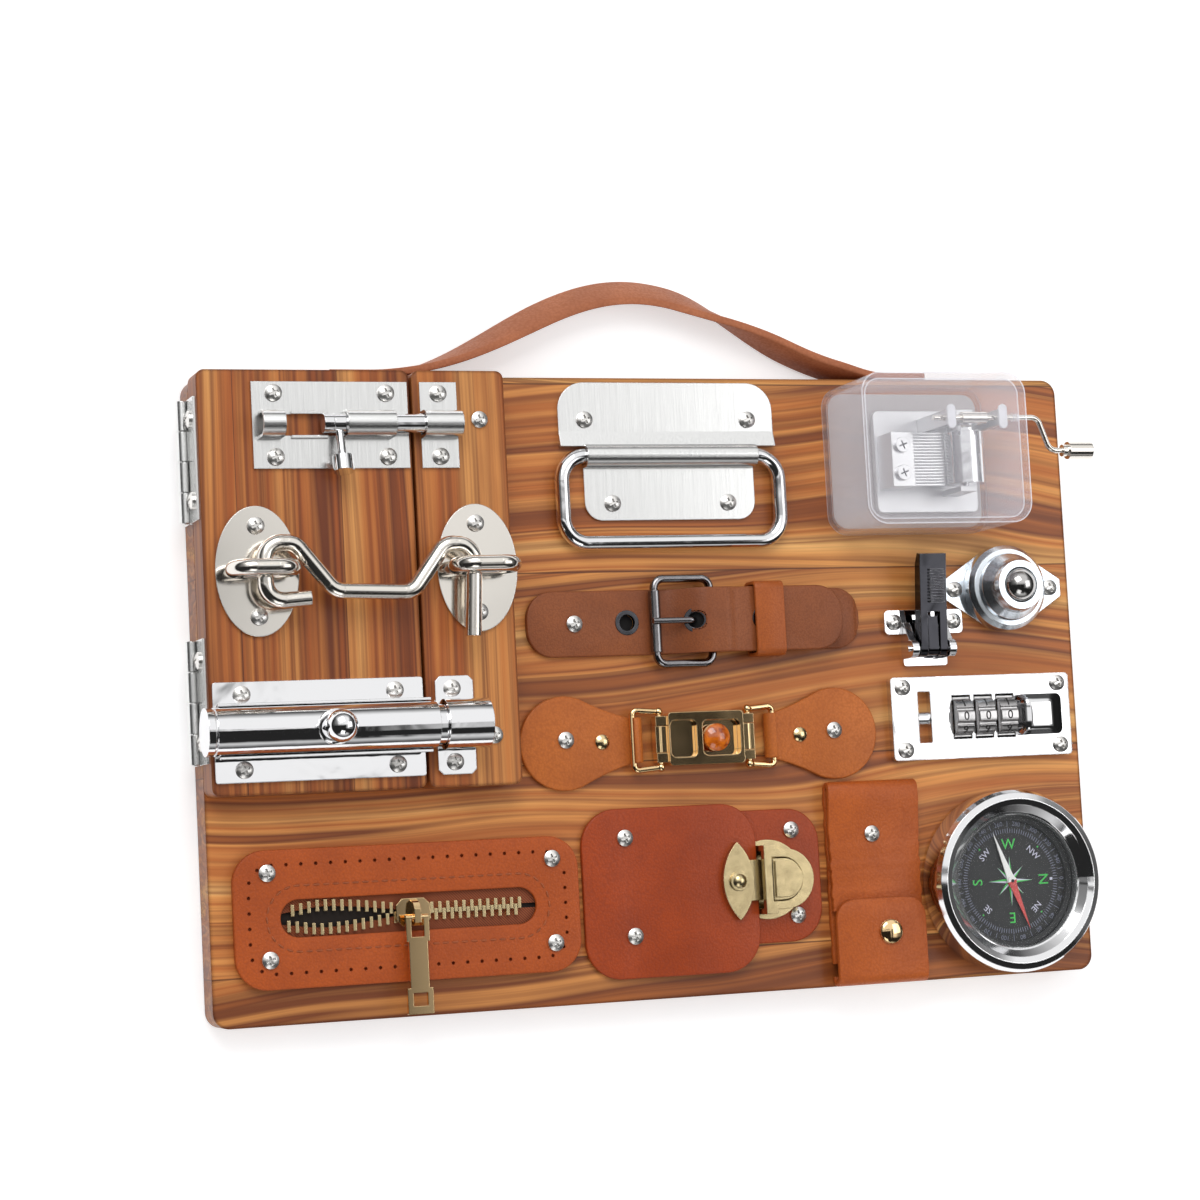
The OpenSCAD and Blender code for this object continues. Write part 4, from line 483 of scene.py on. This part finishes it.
def rivets():
    """Black eyelets on the belt, which lies above the board's middle, and brass rivets on the clasp below it."""
    made, tree, shader = material("rivets")
    on_belt = math_node(tree, "GREATER_THAN", axes(tree)[1], 0.0)
    cloud = mottle(tree, 300, 3.0)
    feed(tree, shader, Base_Color=mix(tree, on_belt, (0.80, 0.62, 0.34), (0.10, 0.10, 0.11)), Metallic=1.0,
         Roughness=ramp(tree, cloud, [(0.3, 0.1), (0.7, 0.22)]), Normal=soft_edges(tree, 0.4 * MM)[0])
    return made


def zipper_teeth():
    """Brass teeth over a woven brown tape, told apart by their height."""
    made, tree, shader = material("zipper_teeth")
    is_tooth = math_node(tree, "GREATER_THAN", axes(tree)[2], FACE + 1.22 * MM)
    weave = node(tree, "ShaderNodeTexWave", in_Vector=spot(tree), in_Scale=700.0,
                 bands_direction="DIAGONAL").outputs["Fac"]
    cloth = mix(tree, weave, srgb(150, 78, 42), srgb(96, 46, 26))
    feed(tree, shader, Base_Color=mix(tree, is_tooth, cloth, (0.95, 0.75, 0.42)), Metallic=is_tooth,
         Roughness=ramp(tree, is_tooth, [(0.0, 0.85), (1.0, 0.2)]), Normal=soft_edges(tree, 0.3 * MM)[0])
    return made


def dress(finish, *names):
    """Gives the frame's nodes a finish."""
    for name in names:
        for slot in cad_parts[name].material_slots:
            slot.material = finish


dress(pine("pine_board", 0, 61 * MM, 46 * MM), "main_board")
dress(pine("pine_door", 1, 33 * MM, 8 * MM, (0.84, 0.70, 0.60), 0.03), "door_panel")
dress(pine("pine_block", 1, 200 * MM, 6 * MM, (0.80, 0.66, 0.56), 0.085), "keeper_block")
dress(STEEL_Y, "tower_plate", "tower_keeper", "chest_handle_plate", "board_hinge_leaves", "door_hinge_leaves")
dress(CHROME, "tower_rod", "tower_lever", "chest_handle_bail", "music_drum", "compass_case")
dress(MIRROR, "spring_bolt_case", "spring_bolt_sleeve", "spring_bolt_keeper", "toggle_base")
dress(SMOKED, "toggle_lever", "toggle_hook")
dress(BALL, "caster_ball")
dress(LOCK, "lock_plate")
dress(domed_button(), "lock_button")
dress(NICKEL, "cabin_eye_left", "cabin_eye_right", "cabin_hook", "music_crank")
dress(SCREWS, "board_screws", "door_screws")
dress(STEEL_X, "music_comb")
dress(ZINC, "caster_housing")
dress(CAST, "music_bedplate")
dress(GUNMETAL, "buckle_frame", "buckle_prong")
dress(rivets(), "leather_rivets")
dress(GOLD, "clasp_bails", "clasp_body", "zipper_slider", "zipper_pull")
dress(BRASS, "tuck_lock_case", "tuck_lock_button", "tuck_leaf_plate")
dress(DIAL, "compass_dial")
dress(CLEAR, "music_case")
dress(GLASS, "compass_glass")
dress(amber(), "clasp_button")
dress(needle(), "compass_needle")
dress(zipper_teeth(), "zipper_chain")
dress(metal("dial_steel", (0.50, 0.49, 0.49), 0.18, wear=0.4), "lock_dial_1", "lock_dial_2", "lock_dial_3")
dress(TAN, "zipper_panel", "flap_leather", "flap_base_patch", "snap_strap", "snap_flap")
dress(BELT, "belt_base_strap", "belt_tongue_strap")
dress(KEEPER, "belt_keeper_loop")
dress(CLASP, "clasp_straps")
dress(STRAP, "carry_strap")

# ---- Mesh helpers; lengths in these are millimetres until a mesh is finished ----


SHARP_ANGLE = math.radians(38)


def finish_mesh(name, bm, body, finish, slot, *replaced):
    """Turns a bmesh in millimetres into a piece in metres that rides on a body and may replace nodes."""
    bmesh.ops.remove_doubles(bm, verts=bm.verts[:], dist=0.002)
    bmesh.ops.recalc_face_normals(bm, faces=bm.faces[:])
    bmesh.ops.scale(bm, vec=(MM, MM, MM), verts=bm.verts[:])
    mesh = bpy.data.meshes.new(name)
    bm.to_mesh(mesh)
    bm.free()
    mesh.materials.append(finish)
    mesh.polygons.foreach_set("use_smooth", [True] * len(mesh.polygons))
    mesh.set_sharp_from_angle(angle=SHARP_ANGLE)
    piece = bpy.data.objects.new(name, mesh)
    bpy.context.collection.objects.link(piece)
    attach(piece, body)
    if replaced:
        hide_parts(*replaced)
    return piece


def full_turn(steps):
    """Evenly spaced angles round a circle."""
    return [i * math.tau / steps for i in range(steps)]


def disc(x, y, r, steps):
    return [(x + r * math.cos(a), y + r * math.sin(a)) for a in full_turn(steps)]


def skin(bm, first, second):
    """Joins two closed rings of points with faces."""
    count = len(first)
    for i in range(count):
        bm.faces.new((first[i], first[(i + 1) % count], second[(i + 1) % count], second[i]))


def slab(bm, low, high):
    """Closes two rings into a thin solid; low and high are rings of points."""
    bm.faces.new(high)
    bm.faces.new(low[::-1])
    skin(bm, low, high)


def round_rect(x, y, w, h, r, steps=8):
    points = []
    for k, (sx, sy) in enumerate(((1, 1), (-1, 1), (-1, -1), (1, -1))):
        for i in range(steps + 1):
            a = (k + i / steps) * math.pi / 2
            points.append((x + sx * (w / 2 - r) + r * math.cos(a), y + sy * (h / 2 - r) + r * math.sin(a)))
    return points


def walk(loop, pitch):
    """Evenly spaced points round a closed loop, each with its direction."""
    ends = loop[1:] + loop[:1]
    lengths = [math.dist(a, b) for a, b in zip(loop, ends)]
    total = sum(lengths)
    count = round(total / pitch)
    stops = []
    edge, start = 0, 0.0
    for i in range(count):
        at = i * total / count
        while at > start + lengths[edge]:
            start += lengths[edge]
            edge += 1
        (ax, ay), (bx, by) = loop[edge], ends[edge]
        share = (at - start) / lengths[edge]
        stops.append((ax + share * (bx - ax), ay + share * (by - ay), math.atan2(by - ay, bx - ax)))
    return stops


def cut_sheet(outline, holes, low, high, cuts=(), edge=0.3, pins=(), pin_r=0.5, bend=None):
    """A flat sheet with holes, small pin holes and rounded edges, cut at places along X so that it can bend."""
    bm = bmesh.new()
    rims = []
    loops = [outline, *holes, *(disc(x, y, pin_r, 8) for x, y in pins)]
    for loop in loops:
        corners = [bm.verts.new((x, y, low)) for x, y in loop]
        rims += [bm.edges.new(pair) for pair in zip(corners, corners[1:] + corners[:1])]
    bmesh.ops.triangle_fill(bm, use_beauty=True, edges=rims)
    for x in cuts:
        bmesh.ops.bisect_plane(bm, geom=bm.verts[:] + bm.edges[:] + bm.faces[:], plane_co=(x, 0, 0),
                               plane_no=(1, 0, 0))
    raised = bmesh.ops.extrude_face_region(bm, geom=bm.faces[:])["geom"]
    for vert in raised:
        if isinstance(vert, bmesh.types.BMVert):
            vert.co.z = high
    bmesh.ops.recalc_face_normals(bm, faces=bm.faces[:])

    def by_a_pin(vert):
        return any(abs(vert.co.x - x) < pin_r * 1.2 and abs(vert.co.y - y) < pin_r * 1.2 for x, y in pins)

    sharp = [e for e in bm.edges if len(e.link_faces) == 2 and e.calc_face_angle() > 1.2
             and abs(e.verts[0].co.z - e.verts[1].co.z) < 0.01 and not by_a_pin(e.verts[0])]
    bmesh.ops.bevel(bm, geom=sharp, offset=edge, segments=3, profile=0.6, affect="EDGES")
    if bend:
        for vert in bm.verts:
            vert.co = Vector(bend(*vert.co))
    return bm


def ribbon(path, half_width, thick, to_space, closed=False, edge=0.35):
    """A band that follows a path in a plane. half_width(s, total) may narrow it towards its ends."""
    bm = bmesh.new()
    lengths = [0.0]
    for a, b in zip(path, path[1:]):
        lengths.append(lengths[-1] + math.dist(a, b))
    rings = []
    count = len(path)
    for i, (a, b) in enumerate(path):
        before = path[i - 1] if i or closed else path[i]
        after = path[(i + 1) % count] if i < count - 1 or closed else path[i]
        along = Vector((after[0] - before[0], after[1] - before[1])).normalized()
        out = Vector((-along.y, along.x))
        half = half_width(lengths[i], lengths[-1])
        section = []
        for sw, st in ((1, 1), (-1, 1), (-1, -1), (1, -1)):
            corner = [(half - edge, thick / 2), (half - edge * 0.3, thick / 2 - edge * 0.3), (half, thick / 2 - edge)]
            if sw * st < 0:
                corner.reverse()
            section += [(sw * w, st * t) for w, t in corner]
        section = section[:3][::-1] + section[3:6][::-1] + section[6:9][::-1] + section[9:][::-1]
        rings.append([bm.verts.new(to_space(a + out.x * t, b + out.y * t, w)) for w, t in section])
    pairs = list(zip(rings, rings[1:])) + ([(rings[-1], rings[0])] if closed else [])
    for first, second in pairs:
        skin(bm, first, second)
    if not closed:
        bm.faces.new(rings[0])
        bm.faces.new(rings[-1][::-1])
    return bm


def arc(x, y, r, start, stop, steps):
    """Points on an arc between two angles in degrees."""
    return [(x + r * math.cos(math.radians(a)), y + r * math.sin(math.radians(a)))
            for a in (start + (stop - start) * i / steps for i in range(steps + 1))]


def line(a, b, steps):
    """Points on a straight line."""
    return [(a[0] + (b[0] - a[0]) * i / steps, a[1] + (b[1] - a[1]) * i / steps) for i in range(steps + 1)]


def stitches(stops, length, radius, z):
    """Short threads that dip into the leather at both ends; stops are (x, y, direction)."""
    bm = bmesh.new()
    for x, y, turn in stops:
        along = Vector((math.cos(turn), math.sin(turn), 0))
        out = Vector((-math.sin(turn), math.cos(turn), 0))
        rings = []
        for k in range(5):
            share = k / 4 * 2 - 1
            thick = radius * math.sqrt(max(0.12, 1 - share ** 4))
            at = Vector((x, y, z + 0.12 - 0.3 * share * share)) + along * (share * length / 2)
            rings.append([bm.verts.new(at + out * (thick * math.cos(a)) + Vector((0, 0, thick * math.sin(a))))
                          for a in full_turn(6)])
        for first, second in zip(rings, rings[1:]):
            skin(bm, first, second)
        bm.faces.new(rings[0][::-1])
        bm.faces.new(rings[-1])
    return bm


def turned(x, y, profile):
    """A surface of revolution about a vertical axis, closed on top; profile is (radius, height) upwards."""
    bm = bmesh.new()
    rings = [[bm.verts.new((px, py, z)) for px, py in disc(x, y, r, 40)] for r, z in profile]
    for first, second in zip(rings, rings[1:]):
        skin(bm, first, second)
    bm.faces.new(rings[-1])
    return bm


def smooth_steps(x, stops):
    """A height that eases between (place, height) stops."""
    if x <= stops[0][0]:
        return stops[0][1]
    for (x0, z0), (x1, z1) in zip(stops, stops[1:]):
        if x <= x1:
            share = (x - x0) / (x1 - x0)
            return z0 + (z1 - z0) * share * share * (3 - 2 * share)
    return stops[-1][1]


# ---- Leather: the belt ----

BELT_LOW, BELT_HIGH = mm_box("belt_tongue_strap")
BELT_Y = (BELT_LOW.y + BELT_HIGH.y) / 2
BELT_W = BELT_HIGH.y - BELT_LOW.y
EYELETS = (-11.0, 11.1, 34.2)
EYELET_R = 2.6
# Height of the tongue strap's underside along X
TONGUE = [(1.5, FACE_MM + SEAT), (15.5, 19.1), (21.0, 19.1), (25.5, 17.9)]


def tongue_strap():
    mid_x = (BELT_LOW.x + BELT_HIGH.x) / 2
    outline = round_rect(mid_x, BELT_Y, BELT_HIGH.x - BELT_LOW.x, BELT_W, BELT_W * 0.42, 12)
    holes = [disc(x, BELT_Y, EYELET_R + 0.1, 24) for x in EYELETS]
    cuts = [TONGUE[0][0] + i for i in range(25)]

    def bend(x, y, z):
        crown = 0.25 * math.cos(max(-1, min(1, (y - BELT_Y) / (BELT_W / 2))) * math.pi / 2)
        return x, y, smooth_steps(x, TONGUE) + z + (crown if z > 0.5 else 0)
    finish_mesh("belt_tongue", cut_sheet(outline, holes, 0, LEATHER_T, cuts, 0.45, bend=bend), "root", BELT,
                "belt_leather", "belt_tongue_strap")


def base_strap():
    """Turned round the buckle's heel bar, flat under the tongue strap, and down to the board at its end."""
    low, high = mm_box("belt_base_strap")
    heel = (17.5, 15.5)
    flat = FACE_MM + 2.65
    rest = FACE_MM + SEAT + 0.75
    path = arc(*heel, 2.35, 250, 20, 14) + [(21.5, flat + 0.35)]
    path += line((23.5, flat), (54.5, flat), 12) + [(57.0, flat - 0.9), (59.25, rest + 0.05)]
    path += line((60.5, rest), (high.x, rest), 10)
    half = (high.y - low.y) / 2
    corner = half * 0.8

    def width(s, total):
        left = total - s
        if left > corner:
            return half
        return max(1.2, half - corner + math.sqrt(max(0, corner ** 2 - (corner - left) ** 2)))
    finish_mesh("belt_base", ribbon(path, width, 1.45, lambda a, b, w: (a, BELT_Y + w, b)), "root", BELT,
                "belt_leather", "belt_base_strap")


def keeper_loop():
    low, high = mm_box("belt_keeper_loop")
    thick = 1.3
    mid_x, mid_z = (low.x + high.x) / 2, (low.z + high.z) / 2
    loop = round_rect(BELT_Y, mid_z, high.y - low.y - thick, high.z - low.z - thick, 1.8, 6)
    bm = ribbon(loop, lambda s, total: (high.x - low.x) / 2, thick, lambda a, b, w: (mid_x + w, a, b), True, 0.4)
    for vert in bm.verts:
        # The loop is drawn in a little where it bears on the strap's edges
        pull = 1 - 0.03 * abs(vert.co.y - BELT_Y) / 12
        vert.co.x = mid_x + (vert.co.x - mid_x) * pull
    finish_mesh("belt_keeper", bm, "belt_keeper", KEEPER, "belt_leather", "belt_keeper_loop")


def eyelet_shades():
    """Painted shade: dark discs under the eyelets, standing in for the shade seen through them."""
    bm = bmesh.new()
    for at in EYELETS:
        low, high = ([bm.verts.new((x, y, smooth_steps(x, TONGUE) + lift))
                      for x, y in disc(at, BELT_Y, EYELET_R + 0.05, 24)] for lift in (0.02, 0.1))
        slab(bm, low, high)
    finish_mesh("eyelet_shades", bm, "root", plain("eyelet_shade", srgb(16, 13, 12), 0.9), "dial_black")


tongue_strap()
base_strap()
keeper_loop()
eyelet_shades()

# ---- Leather: the clasp's ends ----

CLASP_MID = middle("clasp_body") / MM
# From the clasp's middle: the fold round the wire, the round end and its radius; half the neck; the wire's height
EYE_X, END_X, END_R, NECK, EYE_Z = 24.2, 46.8, 15.0, 7.25, 15.1


def clasp_end(side):
    """The round leather end on one side, whose neck folds round the wire; side is -1 or 1."""
    reach = END_X - EYE_X
    touch = math.atan2(NECK, reach) + math.acos(END_R / math.hypot(reach, NECK))
    fold_r = 1.2 + LEATHER_T / 2
    fold = math.pi * fold_r * 1.05
    outline = [(END_X + END_R * math.cos(a), END_R * math.sin(a)) for a in (
        math.pi - touch - i * (math.tau - 2 * touch) / 40 for i in range(41))]
    waist = [(EYE_X, -NECK), (EYE_X - fold, -NECK), (EYE_X - fold, NECK), (EYE_X, NECK)]
    # The sides draw in to the neck on an easy curve
    end_x, end_y = outline[-1]
    side_low = [(end_x + (EYE_X - end_x) * t, end_y + (-NECK - end_y) * (1.35 * t - 0.35 * t * t))
                for t in (0.2, 0.4, 0.6, 0.8)]
    side_high = [(x, -y) for x, y in side_low[::-1]]
    outline = outline + side_low + waist + side_high
    cuts = [EYE_X - fold * i / 10 for i in range(10)] + [EYE_X + i for i in range(1, 12)]

    def bend(x, y, z):
        if x > EYE_X:
            rise = 0.5 * (1 - min(1, math.hypot(x - END_X, y) / END_R) ** 2) if z > 0.5 else 0
            return CLASP_MID.x + side * x, CLASP_MID.y + y, FACE_MM + SEAT + z + rise
        a = (EYE_X - x) / fold_r
        r = fold_r + LEATHER_T / 2 - z
        return CLASP_MID.x + side * (EYE_X - r * math.sin(a)), CLASP_MID.y + y, EYE_Z - r * math.cos(a)
    bm = cut_sheet(outline, [], 0, LEATHER_T, cuts, 0.5, bend=bend)
    name = "clasp_end_left" if side < 0 else "clasp_end_right"
    finish_mesh(name, bm, "root", CLASP, "clasp_leather", "clasp_straps")


clasp_end(-1)
clasp_end(1)

# ---- Leather: the zipper panel ----

ZIP = middle("zipper_panel") / MM
ZIP_SLOT = (82, 11.5)


def around_zip(half_x, half_y):
    """A plain rectangle about the zipper's middle."""
    return [(ZIP.x + sx * half_x, ZIP.y + sy * half_y) for sx, sy in ((-1, -1), (1, -1), (1, 1), (-1, 1))]


def zipper_panel():
    low, high = mm_box("zipper_panel")
    w, h = high.x - low.x, high.y - low.y
    lining = high.z - 1.4
    holes_row = walk(round_rect(ZIP.x, ZIP.y, w - 9.5, h - 9.5, 7), 4.7)
    slot = round_rect(ZIP.x, ZIP.y, *ZIP_SLOT, 5.7, 10)
    bm = cut_sheet(round_rect(ZIP.x, ZIP.y, w, h, 10, 10), [slot], lining, high.z, edge=0.45,
                   pins=[(x, y) for x, y, _ in holes_row], pin_r=0.55)
    finish_mesh("zipper_leather", bm, "root", TAN, "tan_leather", "zipper_panel")
    under = cut_sheet(round_rect(ZIP.x, ZIP.y, w - 0.3, h - 0.3, 10, 10), [around_zip(48, 13)], low.z,
                      lining + 0.05, edge=0.2)
    finish_mesh("zipper_lining", under, "root", TAN, "tan_leather")
    row = walk(round_rect(ZIP.x, ZIP.y, *(side + 8.6 for side in ZIP_SLOT), 10, 10), 3.1)
    finish_mesh("zipper_stitches", stitches(row, 2.5, 0.32, high.z), "root", THREAD, "tan_leather")


zipper_panel()

# ---- Leather: the flap and the patch below it ----


def flap():
    """It climbs from the board on to its patch, and has a mesh of its own."""
    low, high = mm_box("flap_leather")
    mid = ((low.x + high.x) / 2, (low.y + high.y) / 2)
    outline = round_rect(*mid, high.x - low.x, high.y - low.y, 12, 12)
    rise = [(-16, FACE_MM + SEAT), (8, 13.95)]
    cuts = [rise[0][0] + i for i in range(26)]

    def bend(x, y, z):
        return x, y, smooth_steps(x, rise) + z
    piece = finish_mesh("flap", cut_sheet(outline, [], 0, LEATHER_T, cuts, 0.5, bend=bend), "root", FLAP,
                        "tan_leather", "flap_leather")
    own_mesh(piece)


def patch():
    low, high = mm_box("flap_base_patch")
    outline = round_rect((low.x + high.x) / 2, (low.y + high.y) / 2, high.x - low.x, high.y - low.y, 11, 12)
    finish_mesh("flap_patch", cut_sheet(outline, [], low.z, high.z, edge=0.45), "root", FLAP, "tan_leather",
                "flap_base_patch")


flap()
patch()

# ---- Leather: the snap strap ----

SNAP_X = middle("snap_strap").x / MM
SNAP_HALF = 16.0


def snap_parts():
    low, high = mm_box("snap_strap")
    flap_low, flap_high = mm_box("snap_flap")
    thick = LEATHER_T
    back_z, front_z, flap_z = (z + thick / 2 for z in (12.1, 14.4, 16.6))
    top_y = high.y - thick / 2 - 1.6
    # Up the back, over a loose round fold and down the front
    path = line((low.y, back_z), (top_y - 6, back_z), 24) + [(top_y - 3.5, back_z + 0.05)]
    path += [(top_y + 2.5 * math.sin(math.radians(a)), back_z + 1.9 - 1.9 * math.cos(math.radians(a)))
             for a in range(20, 170, 15)]
    path += [(top_y - 3.0, front_z + 1.25), (top_y - 7, front_z + 0.65), (top_y - 12, front_z + 0.15)]
    path += line((top_y - 15, front_z), (low.y + 17, front_z), 24)
    ripple = random.Random(3)
    # The cut edge wanders a little; one step for every 1.3 mm
    wobble = [ripple.uniform(-0.35, 0.35) for _ in range(120)]

    def width(s, total):
        k = s / 1.3
        i = int(k)
        return SNAP_HALF + wobble[i % 120] * (1 - k + i) + wobble[(i + 1) % 120] * (k - i)
    bm = ribbon(path, width, thick, lambda a, b, w: (SNAP_X + w, a, b), edge=0.3)
    finish_mesh("snap_band", bm, "root", SNAP, "tan_leather", "snap_strap")

    pivot_y = flap_low.y + 2.8
    mid_z = (back_z + flap_z) / 2
    radius = (flap_z - back_z) / 2
    flap_path = arc(pivot_y, mid_z, radius, 270, 90, 16) + line((pivot_y + 1.2, flap_z), (flap_high.y, flap_z), 46)
    corner = 6.5

    def flap_width(s, total):
        left = total - s
        if left > corner:
            return SNAP_HALF
        return SNAP_HALF - corner + math.sqrt(max(0.05, corner ** 2 - (corner - left) ** 2))
    flap_bm = ribbon(flap_path, flap_width, thick, lambda a, b, w: (SNAP_X + w, a, b), edge=0.4)
    finish_mesh("snap_cover", flap_bm, "snap", SNAP, "tan_leather", "snap_flap")
    top_z = flap_z + thick / 2
    cap = turned(SNAP_X + 3, flap_low.y + 16.5, [(4.15, top_z - 0.1), (4.2, top_z + 0.35)] + [
        (4.1 * math.cos(a), top_z + 0.4 + 1.35 * math.sin(a)) for a in (i * 1.45 / 8 for i in range(9))])
    finish_mesh("snap_cap", cap, "snap", GOLD, "gold")


snap_parts()

# ---- The carry strap ----


def carry_strap():
    low, high = mm_box("carry_strap")
    mid_x = (low.x + high.x) / 2
    half, tail, rise, thick = 90.0, 13.0, 28.0, 2.4
    base = low.y + thick / 2

    def height(u):
        return rise * (1 + math.cos(math.pi * u)) / 2 * (0.85 + 0.15 * math.cos(math.pi / 2 * u))
    path = line((-half - tail, 0), (-half - 1.5, 0), 8) + [(u * half, height(u)) for u in (
        -1 + 2 * i / 96 for i in range(97))] + line((half + 1.5, 0), (half + tail, 0), 8)
    path = [(mid_x + x, base + y) for x, y in path]
    mid_z, wide = (low.z + high.z) / 2, (high.z - low.z) / 2
    # It hangs with its back edge high on the left and in the middle, and the other way on the right
    leans = [(-85, 0), (-30, 42), (15, 40), (55, -18), (72, -18), (88, 0)]

    def to_space(a, b, w):
        lean = math.radians(smooth_steps(a - mid_x, leans))
        return a, b - w * math.sin(lean), mid_z + w * math.cos(lean)
    bm = ribbon(path, lambda s, total: wide, thick, to_space, edge=0.5)
    finish_mesh("carry_band", bm, "root", STRAP, "strap_leather", "carry_strap")


carry_strap()

# ---- Printed letters and numbers ----


def print_mark(bm, text, size, place_matrix, thick=0.08):
    """Adds text, in millimetres, to a bmesh at the place that the matrix gives."""
    curve = bpy.data.curves.new("mark", "FONT")
    curve.body = text
    curve.size = size
    curve.align_x = "CENTER"
    curve.align_y = "CENTER"
    curve.extrude = thick / 2
    curve.resolution_u = 3
    holder = bpy.data.objects.new("mark", curve)
    bpy.context.collection.objects.link(holder)
    bpy.context.view_layer.update()
    mesh = bpy.data.meshes.new_from_object(holder.evaluated_get(bpy.context.evaluated_depsgraph_get()))
    mesh.transform(place_matrix)
    bm.from_mesh(mesh)
    bpy.data.objects.remove(holder)
    bpy.data.curves.remove(curve)
    bpy.data.meshes.remove(mesh)


def upright(x, y, z, turn):
    """A place on a flat face, turned about the upright axis."""
    return Matrix.Translation((x, y, z)) @ Matrix.Rotation(turn, 4, "Z")


def bar_mark(bm, x, y, z, turn, r0, r1, wide, thick=0.06):
    """A thin flat bar that points away from (x, y), between two radii: print on the compass, and painted shade in the
    screws' cross slots.
    """
    place_matrix = upright(x, y, z, turn)
    half = wide / 2
    low, high = ([bm.verts.new(place_matrix @ Vector((*p, rise)))
                  for p in ((r0, -half), (r1, -half), (r1, half), (r0, half))] for rise in (0, thick))
    slab(bm, low, high)


def compass_face():
    x, y, _ = middle("compass_dial") / MM
    z = FACE_MM + 5.0
    ink_and_painted_shade = z + 0.05

    def letters(bm, text, size, r, a):
        print_mark(bm, text, size, upright(x + r * math.cos(a), y + r * math.sin(a), ink_and_painted_shade, a - math.pi / 2))
    green = plain("compass_green", srgb(70, 210, 90), 0.5)
    white = plain("compass_white", srgb(214, 214, 232), 0.5)
    grey = plain("compass_grey", srgb(126, 130, 150), 0.5)

    main, minor, ring, star_light, star_dark = (bmesh.new() for _ in range(5))
    for k, name in enumerate("NWSE"):
        a = k * math.pi / 2
        letters(main, name, 5.0, 12.0, a)
    for k, name in enumerate(("NW", "SW", "SE", "NE")):
        a = (k + 0.5) * math.pi / 2
        letters(minor, name, 3.0, 12.6, a)
        bar_mark(main, x, y, z, a, 15.0, 15.5, 0.5)
    for degrees in range(0, 360, 20):
        a = -math.radians(degrees)
        letters(ring, str(degrees), 2.1, 18.9, a)
        bar_mark(ring, x, y, z, a - math.radians(10), 17.9, 19.9, 0.18)
    for k, a in enumerate(full_turn(120)):
        bar_mark(ring, x, y, z, a, 15.9, 17.3 if k % 5 else 17.6, 0.24)
    bar_mark(minor, x, y, z, 0, 14.6, 15.6, 0.9)
    # The star's points have a light and a dark half
    for k, a in enumerate(full_turn(8)):
        tip, hip = (6.4, 1.35) if k % 2 else (8.2, 1.5)
        for bm, side in ((star_light, 1), (star_dark, -1)):
            points = [(0, 0), (tip * math.cos(a), tip * math.sin(a)),
                      (hip * math.cos(a + side * 0.5), hip * math.sin(a + side * 0.5))]
            slab(bm, *([bm.verts.new((x + px, y + py, z + rise)) for px, py in points] for rise in (0, 0.06)))
    for name, bm, finish in (("compass_letters", main, green), ("compass_small_letters", minor, white),
                             ("compass_ring_marks", ring, grey), ("compass_star_light", star_light, white),
                             ("compass_star_dark", star_dark, green)):
        finish_mesh(name, bm, "root", finish, "dial_black")


def lock_digits():
    ink_and_painted_shade = plain("digit_ink", srgb(24, 22, 22), 0.5)
    axle_z, radius = FACE_MM - 0.9, 7.6
    for number in (1, 2, 3):
        dial = middle(f"lock_dial_{number}") / MM
        bm = bmesh.new()
        for k, a in enumerate(full_turn(10)):
            around = Matrix.Translation((dial.x, dial.y, axle_z)) @ Matrix.Rotation(-a, 4, "X")
            print_mark(bm, str(k), 4.1, around @ Matrix.Translation((0, 0, radius)), 0.16)
        finish_mesh(f"lock_digits_{number}", bm, f"dial_{number}", ink_and_painted_shade, "dial_black")


compass_face()
lock_digits()

# ---- Music box details ----

DRUM_R = 6.5
# Places of the crank's shaft posts and of the comb's clamp screws
POSTS = (("music_clip_left", 96.0), ("music_clip_right", 114.7))
SHAFT_Y = 83.25
CLAMP_X, CLAMP_TOP = 83.6, 28.7
CLAMP_YS = (66.45, 75.65)


def music_details():
    low, high = mm_box("music_drum")
    axis_x, axis_z = (low.x + high.x) / 2, (low.z + high.z) / 2
    pins = bmesh.new()
    tune = random.Random(11)
    for track in range(17):
        for _ in range(5):
            a = tune.uniform(0, math.tau)
            at = Matrix.Translation((axis_x, low.y + 3.0 + track, axis_z)) @ Matrix.Rotation(a, 4, "Y")
            bmesh.ops.create_cone(pins, cap_ends=True, segments=6, radius1=0.17, radius2=0.14, depth=0.6,
                                  matrix=at @ Matrix.Translation((0, 0, DRUM_R + 0.1)))
    finish_mesh("music_drum_pins", pins, "drum", CHROME, "chrome")
    # White caps on the shaft's posts
    clip_paint = plain("clip_white", srgb(236, 236, 240), 0.45)
    for name, x in POSTS:
        pill = cut_sheet(round_rect(x, SHAFT_Y, 3.0, 8.0, 1.49, 6), [], 39.65, 40.7, edge=0.3)
        finish_mesh(name, pill, "root", clip_paint, "zinc")
    # The case's pale tray under the bedplate
    low, high = mm_box("music_case")
    centre, size = (low + high) / 2, high - low
    outline = round_rect(centre.x, centre.y, size.x - 4.4, size.y - 4.4, 5, 6)
    tray = cut_sheet(outline, [], FACE_MM + 0.02, FACE_MM + 0.3, edge=0.1)
    finish_mesh("music_tray", tray, "root", plain("music_tray", srgb(188, 180, 178), 0.5), "zinc")
    # Painted shade: dark crosses on the tops of the screws that clamp the comb, where shade falls in their cross
    # slots
    ink_and_painted_shade = plain("slot_shadow", srgb(40, 40, 44), 0.5)
    crosses = bmesh.new()
    for y in CLAMP_YS:
        for turn in (0.35, 0.35 + math.pi / 2):
            bar_mark(crosses, CLAMP_X, y, CLAMP_TOP, turn, -1.5, 1.5, 0.5, 0.03)
    finish_mesh("music_screw_slot_shade", crosses, "root", ink_and_painted_shade, "dial_black")


music_details()

# ---- Painted shade: a dark sheet behind the zipper's teeth, where there is only shade ----

ZIPPER_SHADE_SHEET = cut_sheet(around_zip(47, 8), [], FACE_MM + 0.02, FACE_MM + 0.4, edge=0.1)
finish_mesh("zipper_painted_shade", ZIPPER_SHADE_SHEET, "root", plain("zipper_shade", srgb(30, 22, 18), 0.9), "tan_leather")
